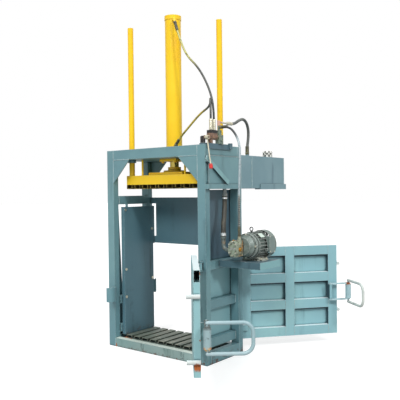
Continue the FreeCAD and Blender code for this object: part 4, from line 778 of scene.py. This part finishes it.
def hexagon(foot, axis, radius, tall, turn=0.0):
    """A six-sided nut or bolt head with chamfered corners, closed at both ends."""
    cut = 0.12 * radius
    return turned(foot, axis, [(0, 0), (0, radius - cut), (cut * 0.6, radius), (tall - cut * 0.6, radius),
                               (tall, radius - cut), (tall, 0)], 6, turn)


def hose_line(name):
    """Points of a hose's own spline, read from Blender with no bevel."""
    bare = bpy.data.objects[name + "_rubber"].copy()
    bare.data = bare.data.copy()
    bare.data.bevel_depth = 0
    mesh = bpy.data.meshes.new_from_object(bare)
    points = np.empty(len(mesh.vertices) * 3)
    mesh.vertices.foreach_get("co", points)
    line = bare.data
    bpy.data.objects.remove(bare)
    bpy.data.curves.remove(line)
    bpy.data.meshes.remove(mesh)
    return points.reshape(-1, 3)


def stretch(line, start, end, rows):
    """Points evenly spaced along a line between two distances from its first point."""
    run = np.concatenate([[0], np.cumsum(np.linalg.norm(np.diff(line, axis=0), axis=1))])
    wanted = np.linspace(start, end, rows)
    return np.stack([np.interp(wanted, run, line[:, k]) for k in range(3)], axis=1)


# ---- fittings, welds and small parts ----

BRIGHT, DARK, PAINT, YELLOW = "bright_steel", "steel_rod", "frame_paint", "yellow_paint"
UP = (0, 0, 1)
TO_FRONT = (0, -1, 0)
bare_steel = polished("bare_steel", (226, 230, 230), 0.28)
ferrule_dark = cast("ferrule_dark", (74, 74, 58), (116, 110, 68), (40, 40, 34), 0.35)
weld_coat = cast("weld_coat", (158, 186, 190), (182, 202, 202), (120, 146, 150), 0.4)
brass = polished("brass_plugs", (196, 144, 66), 0.3)
pale_coat = cast("pale_coat", (206, 224, 212), (184, 202, 190), (150, 166, 156), 0.35)


def crimp(foot, axis, inner, length, bite=0.0045, nut=0.022):
    """A crimped hose end: a hexagon nut, then a sleeve of radius r + bite + 0.0006 cos(2 pi s / 0.011)."""
    foot, axis = np.array(foot, float), np.array(axis, float) / np.linalg.norm(axis)
    s = np.linspace(0, length, 40)
    wall = inner + bite + 0.0006 * np.cos(2 * np.pi * s / 0.011)
    wall[[0, -1]] -= 0.0015
    sleeve = [(0, 0)] + list(zip(s, wall)) + [(length, 0)]
    return [turned(foot, axis, sleeve), hexagon(foot - nut * axis, axis, inner + bite + 0.0035, nut)]


def hose_end(name, last, length, bite=0.0045):
    """A crimped end at the first or last point of a hose's route, in line with it."""
    diameter, _, route = HOSES[name]
    start, ahead = (route[-1], route[-2]) if last else (route[0], route[1])
    return crimp(start, np.subtract(ahead, start), diameter / 2, length, bite)


def band(foot, inner, wide, thick=0.0018):
    """The thin band of a hose clamp round a vertical end, with rolled edges."""
    flat, roll = inner + thick, inner + thick + 0.0008
    profile = [(0, inner - 0.001), (0, flat), (0.0015, roll), (0.003, flat), (wide - 0.003, flat),
               (wide - 0.0015, roll), (wide, flat), (wide, inner - 0.001), (0, inner - 0.001)]
    return turned(foot, UP, profile, 40)


def disc(foot, axis, radius, tall):
    """A washer or plug, closed at both ends."""
    return turned(foot, axis, [(0, 0), (0, radius), (tall, radius), (tall, 0)])


def ring_bead(centre, radius, thick=0.004, count=60):
    """A weld bead round a vertical tube: its radius swells as |sin(count a / 2)|, a the angle round it."""
    a = np.linspace(0, 2 * np.pi, 361)
    centres = np.array(centre, float) + radius * np.stack([np.cos(a), np.sin(a), 0 * a], axis=1)
    ahead = np.stack([-np.sin(a), np.cos(a), 0 * a], axis=1)
    swell = thick * (0.85 + 0.22 * np.abs(np.sin(count * a / 2)))[:, None, None]
    angle = np.linspace(0, 2 * np.pi, 8, endpoint=False)[None, :, None]
    up = np.array(UP, float)
    return centres[:, None] + swell * (np.cos(angle) * np.cross(ahead, up)[:, None] + np.sin(angle) * up)


def coil(line, start, end, inner, wire, pitch):
    """A wire wound round a hose: line + (inner + wire)(cos w N + sin w B), with w = 2 pi s / pitch."""
    turns = (end - start) / pitch
    path = stretch(line, start, end, int(turns * 14))
    ahead = np.gradient(path, axis=0)
    ahead /= np.linalg.norm(ahead, axis=1, keepdims=True)
    across = np.cross(np.broadcast_to([[0.0, 1.0, 0.0]], ahead.shape), ahead)
    across /= np.linalg.norm(across, axis=1, keepdims=True)
    w = np.linspace(0, 2 * np.pi * turns, len(path))[:, None]
    wound = path + (inner + wire) * (np.cos(w) * across + np.sin(w) * np.cross(ahead, across))
    thickness = np.full(len(path), wire)
    thickness[[0, -1]] = 0
    return along(wound, thickness, 6)


def door_spot(door, along_door, up, out):
    """World point on a door's ribbed face: pin + R(sign 130 deg) (x, y), out from the face."""
    x, y = along_door - door["gap"] - door["wide"], door["sign"] * (DOOR_SET - out)
    c, s = math.cos(OPEN), door["sign"] * math.sin(OPEN)
    return door["pin"][0] + c * x - s * y, door["pin"][1] + s * x + c * y, door["low"] + up


def door_welds(door):
    """Upright beads where each rail meets the outer stiles and the two sides of the middle stile."""
    cell_wide, cell_tall = cell_size(door)
    beads = []
    for level in range(4):
        low = level * (cell_tall + RAIL)
        for x in (STILE, STILE + cell_wide, door["wide"] - STILE - cell_wide, door["wide"] - STILE):
            foot, head = (door_spot(door, x, low + z, 0.0004) for z in (0.004, RAIL - 0.004))
            beads.append(bead(foot, head, 0.0022, 0.007, len(beads)))
    return beads


ports = []
for x, y in ((0.635, -0.144), (0.638, -0.195)):
    ports += crimp((x, y, 2.156), UP, 0.0125, 0.074, 0.003, 0.023)
skin("port_ferrules", ports, BRIGHT)
skin("dark_ferrules", hose_end("top_hose", False, 0.080) + hose_end("bottom_hose", True, 0.060)
     + hose_end("pressure_hose", False, 0.058) + hose_end("return_hose", True, 0.060)
     + hose_end("pressure_hose", True, 0.066, 0.003), DARK, finish=ferrule_dark)
skin("light_ferrules", hose_end("return_hose", False, 0.040, 0.002), BRIGHT)

pressure_line = hose_line("pressure_hose")
pressure_run = np.linalg.norm(np.diff(pressure_line, axis=0), axis=1).sum()
guard = coil(pressure_line, pressure_run - 0.36, pressure_run - 0.072, 0.010, 0.0015, 0.017)
skin("hose_guard", [guard], BRIGHT)
clamps = [band((0.715, -0.125, 1.172), 0.022, 0.024, 0.0030), band((0.664, -0.028, 1.504), 0.022, 0.014),
          hexagon((0.709, -0.1515, 1.184), (1, 0, 0), 0.0050, 0.014)]
skin("suction_clamps", clamps, BRIGHT, finish=bare_steel)

POST_X, POST_Y = 0.547, 0.221    # inner edges of the posts, seen from the front and from the side
FACE_Y = 0.2865                  # front and back of the frame, at half a bead's depth
RAIL_X = 0.6375                  # right side of the frame, at half a bead's depth
frame_beads = []
for sx, side_x in ((-1, -0.6338), (1, 0.6372)):
    x = sx * POST_X
    frame_beads += [
        bead((x, -FACE_Y, 1.905), (x, -FACE_Y, 1.998), 0.0030),
        bead((x, -FACE_Y, 1.903), (sx * 0.318, -FACE_Y, 1.903), 0.0032, seed=2),
        bead((x, -FACE_Y, 1.902), (x, -FACE_Y, 1.670), 0.0032, seed=4),
        bead((x, -FACE_Y, 0.006), (x, -FACE_Y, 0.085), 0.0036, seed=3),
        bead((x, FACE_Y, 1.905), (x, FACE_Y, 1.998), 0.0030),
        bead((x, FACE_Y, 0.006), (x, FACE_Y, 0.085), 0.0036, seed=3)]
    for y in (-POST_Y, POST_Y):
        frame_beads += [bead((side_x, y, 1.908), (side_x, y, 1.999), 0.0026, seed=1),
                        bead((side_x, y, 0.004), (side_x, y, 0.103), 0.0026, seed=5)]
for low in (0.140, 0.491, 0.853):
    for y in (-POST_Y, POST_Y):
        frame_beads.append(bead((0.5972, y, low + 0.002), (0.5972, y, low + 0.078), 0.0030, seed=low))
frame_beads += [
    bead((0.6525, -0.249, 1.9005), (0.6525, 0.235, 1.9005), 0.0030),
    bead((0.6525, -0.2515, 1.645), (0.6525, -0.2515, 1.898), 0.0026, seed=1),
    bead((0.6395, 0.474, 1.604), (0.6395, 0.474, 1.922), 0.0028),
    bead((RAIL_X, 0.286, 1.604), (RAIL_X, 0.286, 1.922), 0.0030, seed=2),
    bead((RAIL_X, 1.0995, 1.604), (RAIL_X, 1.0995, 1.922), 0.0022, seed=3),
    bead((0.240, 1.0995, 1.925), (0.636, 1.0995, 1.925), 0.0022, seed=6),
    bead((0.6625, -0.3095, 1.8660), (0.6625, -0.2825, 1.9020), 0.0030),
    bead((0.6625, -0.3095, 1.8660), (0.6650, -0.2740, 1.8400), 0.0026, seed=2),
    bead((0.639, -0.034, 0.9335), (0.639, 0.219, 0.9335), 0.0040, seed=4),
    bead((-0.535, -0.2215, 1.452), (-0.535, -0.2215, 1.535), 0.0028)]
skin("weld_beads", frame_beads, PAINT, finish=weld_coat)

CYLINDER_Y = 0.035
cylinder_beads = [ring_bead((0, CYLINDER_Y, 2.0015), 0.0805),
                  ring_bead((0, CYLINDER_Y, 3.287), 0.0815, 0.003)]
skin("cylinder_welds", cylinder_beads, YELLOW)
ram_beads = [ring_bead((0, CYLINDER_Y, 1.7885), 0.067, 0.004, 50),
             ring_bead((0, CYLINDER_Y, 1.7705), 0.1105, 0.0045, 70)]
for x, y, radius, thick, count in ((-0.427, -0.136, 0.0295, 0.004, 24), (0.448, 0.206, 0.0295, 0.004, 24),
                                   (-0.279, -0.136, 0.0105, 0.003, 12), (0.279, -0.136, 0.0105, 0.003, 12)):
    ram_beads.append(ring_bead((x, y, 1.7425), radius, thick, count))
skin("ram_welds", ram_beads, YELLOW, body="ram")
for side, door in DOORS.items():
    skin(side + "_door_beads", door_welds(door), "door_paint", side + "_door", weld_coat)

MOTOR_X, MOTOR_Z = 0.880, 1.075    # the motor's axis, which runs along Y
PUMP_SCREWS = ((0.806, 1.022), (0.874, 1.022), (0.806, 1.098), (0.874, 1.098), (0.840, 1.122), (0.840, 0.998))
bolts = []
for a in np.arange(4) * math.pi / 2:
    x, z = MOTOR_X + 0.102 * math.cos(a), MOTOR_Z + 0.102 * math.sin(a)
    bolts.append(hexagon((x, -0.008, z), TO_FRONT, 0.0105, 0.007))
domed = [(0, 0), (0, 0.005), (0.002, 0.005), (0.0032, 0.003), (0.0032, 0)]
for y in (0.160, 0.230):
    for z in (1.016, 1.154):
        bolts.append(turned((1.038, y, z), (1, 0, 0), domed, 16))
for x in (0.788, 0.972):
    for y in (0.100, 0.190):
        bolts += [disc((x, y, 0.949), UP, 0.015, 0.002), hexagon((x, y, 0.951), UP, 0.0105, 0.009)]
for x, z in PUMP_SCREWS:
    bolts.append(hexagon((x, -0.1675, z), TO_FRONT, 0.0068, 0.004, z))
skin("motor_bolts", bolts, BRIGHT)

washers = [disc((x, -0.1605, z), TO_FRONT, 0.0115, 0.0012) for x, z in PUMP_SCREWS]
for x in (0.826, 0.858):
    washers.append(turned((x, -0.1605, 1.060), TO_FRONT, [(0, 0), (0, 0.013), (0.003, 0.011), (0.003, 0.008),
                                                          (0.0012, 0.006), (0.0012, 0)]))
skin("pump_washers", washers, DARK)
skin("pump_plugs", [disc((0.884, -0.112, 1.052), (1, 0, 0), 0.019, 0.005),
                    hexagon((0.888, -0.112, 1.052), (1, 0, 0), 0.014, 0.011),
                    hexagon((0.840, -0.147, 1.130), UP, 0.009, 0.010)], BRIGHT, finish=brass)

# a thin plate bent over the fins: (r cos a, r sin a) round the motor's axis, its outer side then its inner
bend = np.radians(np.linspace(36, 60, 13))
bend = np.concatenate([bend, bend[::-1]])
reach = np.repeat([0.1262, 0.1242], 13)
across, up = MOTOR_X + reach * np.cos(bend), MOTOR_Z + reach * np.sin(bend)
plate = np.stack([np.stack([across, np.full(26, y), up], axis=1) for y in (0.090, 0.156)])
middle = plate.mean(axis=1, keepdims=True)
plate = np.concatenate([np.repeat(middle[:1], 26, axis=1), plate, np.repeat(middle[1:], 26, axis=1)])
skin("motor_plate", [plate], BRIGHT, finish=pale_coat)


# ---- floor and light ----

FLOOR_GREY, FLOOR_LIFT = 0.48, 0.62    # its own shade, and the glow that the camera sees on top
SKY_LIGHT, SKY_SHINE = 0.30, 0.50      # what lights the part, and what reflections see on top
# name, turn in degrees, strength, spread in degrees
LAMPS = (("key_lamp", (52, 0, 14), 1.4, 16), ("side_lamp", (54, 0, 70), 1.1, 7),
         ("ceiling_lamp", (8, 0, 30), 1.5, 80))


def light_stage():
    """A white floor that keeps the shadow, an even sky and three broad soft lamps."""
    ground = bpy.data.meshes.new("floor_mesh")
    ground.from_pydata([(-60, -60, 0), (60, -60, 0), (60, 60, 0), (-60, 60, 0)], [], [(0, 1, 2, 3)])
    floor = bpy.data.objects.new("studio_floor", ground)
    bpy.context.collection.objects.link(floor)
    floor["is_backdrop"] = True
    cloth = bpy.data.materials.new("floor_white")
    cloth.use_nodes = True
    tree = cloth.node_tree
    shader = tree.nodes["Principled BSDF"]
    shader.inputs["Base Color"].default_value = (FLOOR_GREY, FLOOR_GREY, FLOOR_GREY, 1)
    shader.inputs["Roughness"].default_value = 0.9
    seen = add_node(tree, "ShaderNodeLightPath").outputs["Is Camera Ray"]
    lift = add_node(tree, "ShaderNodeMath", {0: seen, 1: FLOOR_LIFT}, operation="MULTIPLY").outputs[0]
    glow = add_node(tree, "ShaderNodeEmission", {"Strength": lift}).outputs[0]
    both = add_node(tree, "ShaderNodeAddShader", {0: shader.outputs[0], 1: glow}).outputs[0]
    tree.links.new(both, tree.nodes["Material Output"].inputs["Surface"])
    ground.materials.append(cloth)

    sky = bpy.data.worlds.new("studio_sky")
    sky.use_nodes = True
    tree = sky.node_tree
    seen = add_node(tree, "ShaderNodeLightPath").outputs
    direct = add_node(tree, "ShaderNodeMath", {0: seen["Is Camera Ray"], 1: seen["Is Transmission Ray"]},
                      operation="MAXIMUM").outputs[0]
    shine = add_node(tree, "ShaderNodeMath", {0: seen["Is Glossy Ray"], 1: SKY_SHINE, 2: SKY_LIGHT},
                     operation="MULTIPLY_ADD").outputs[0]
    level = add_node(tree, "ShaderNodeMix", {"Factor": direct, 2: shine, 3: 1.0}).outputs[0]
    feed(tree, tree.nodes["Background"].inputs["Strength"], level)
    feed(tree, tree.nodes["Background"].inputs["Color"], (1, 1, 1, 1))
    bpy.context.scene.world = sky

    for name, angles, strength, spread in LAMPS:
        lamp = bpy.data.lights.new(name, "SUN")
        lamp.energy = strength
        lamp.angle = math.radians(spread)
        hung = bpy.data.objects.new(name, lamp)
        hung.rotation_euler = [math.radians(a) for a in angles]
        bpy.context.collection.objects.link(hung)


light_stage()
bpy.context.scene.view_settings.view_transform = "Standard"

low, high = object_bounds()
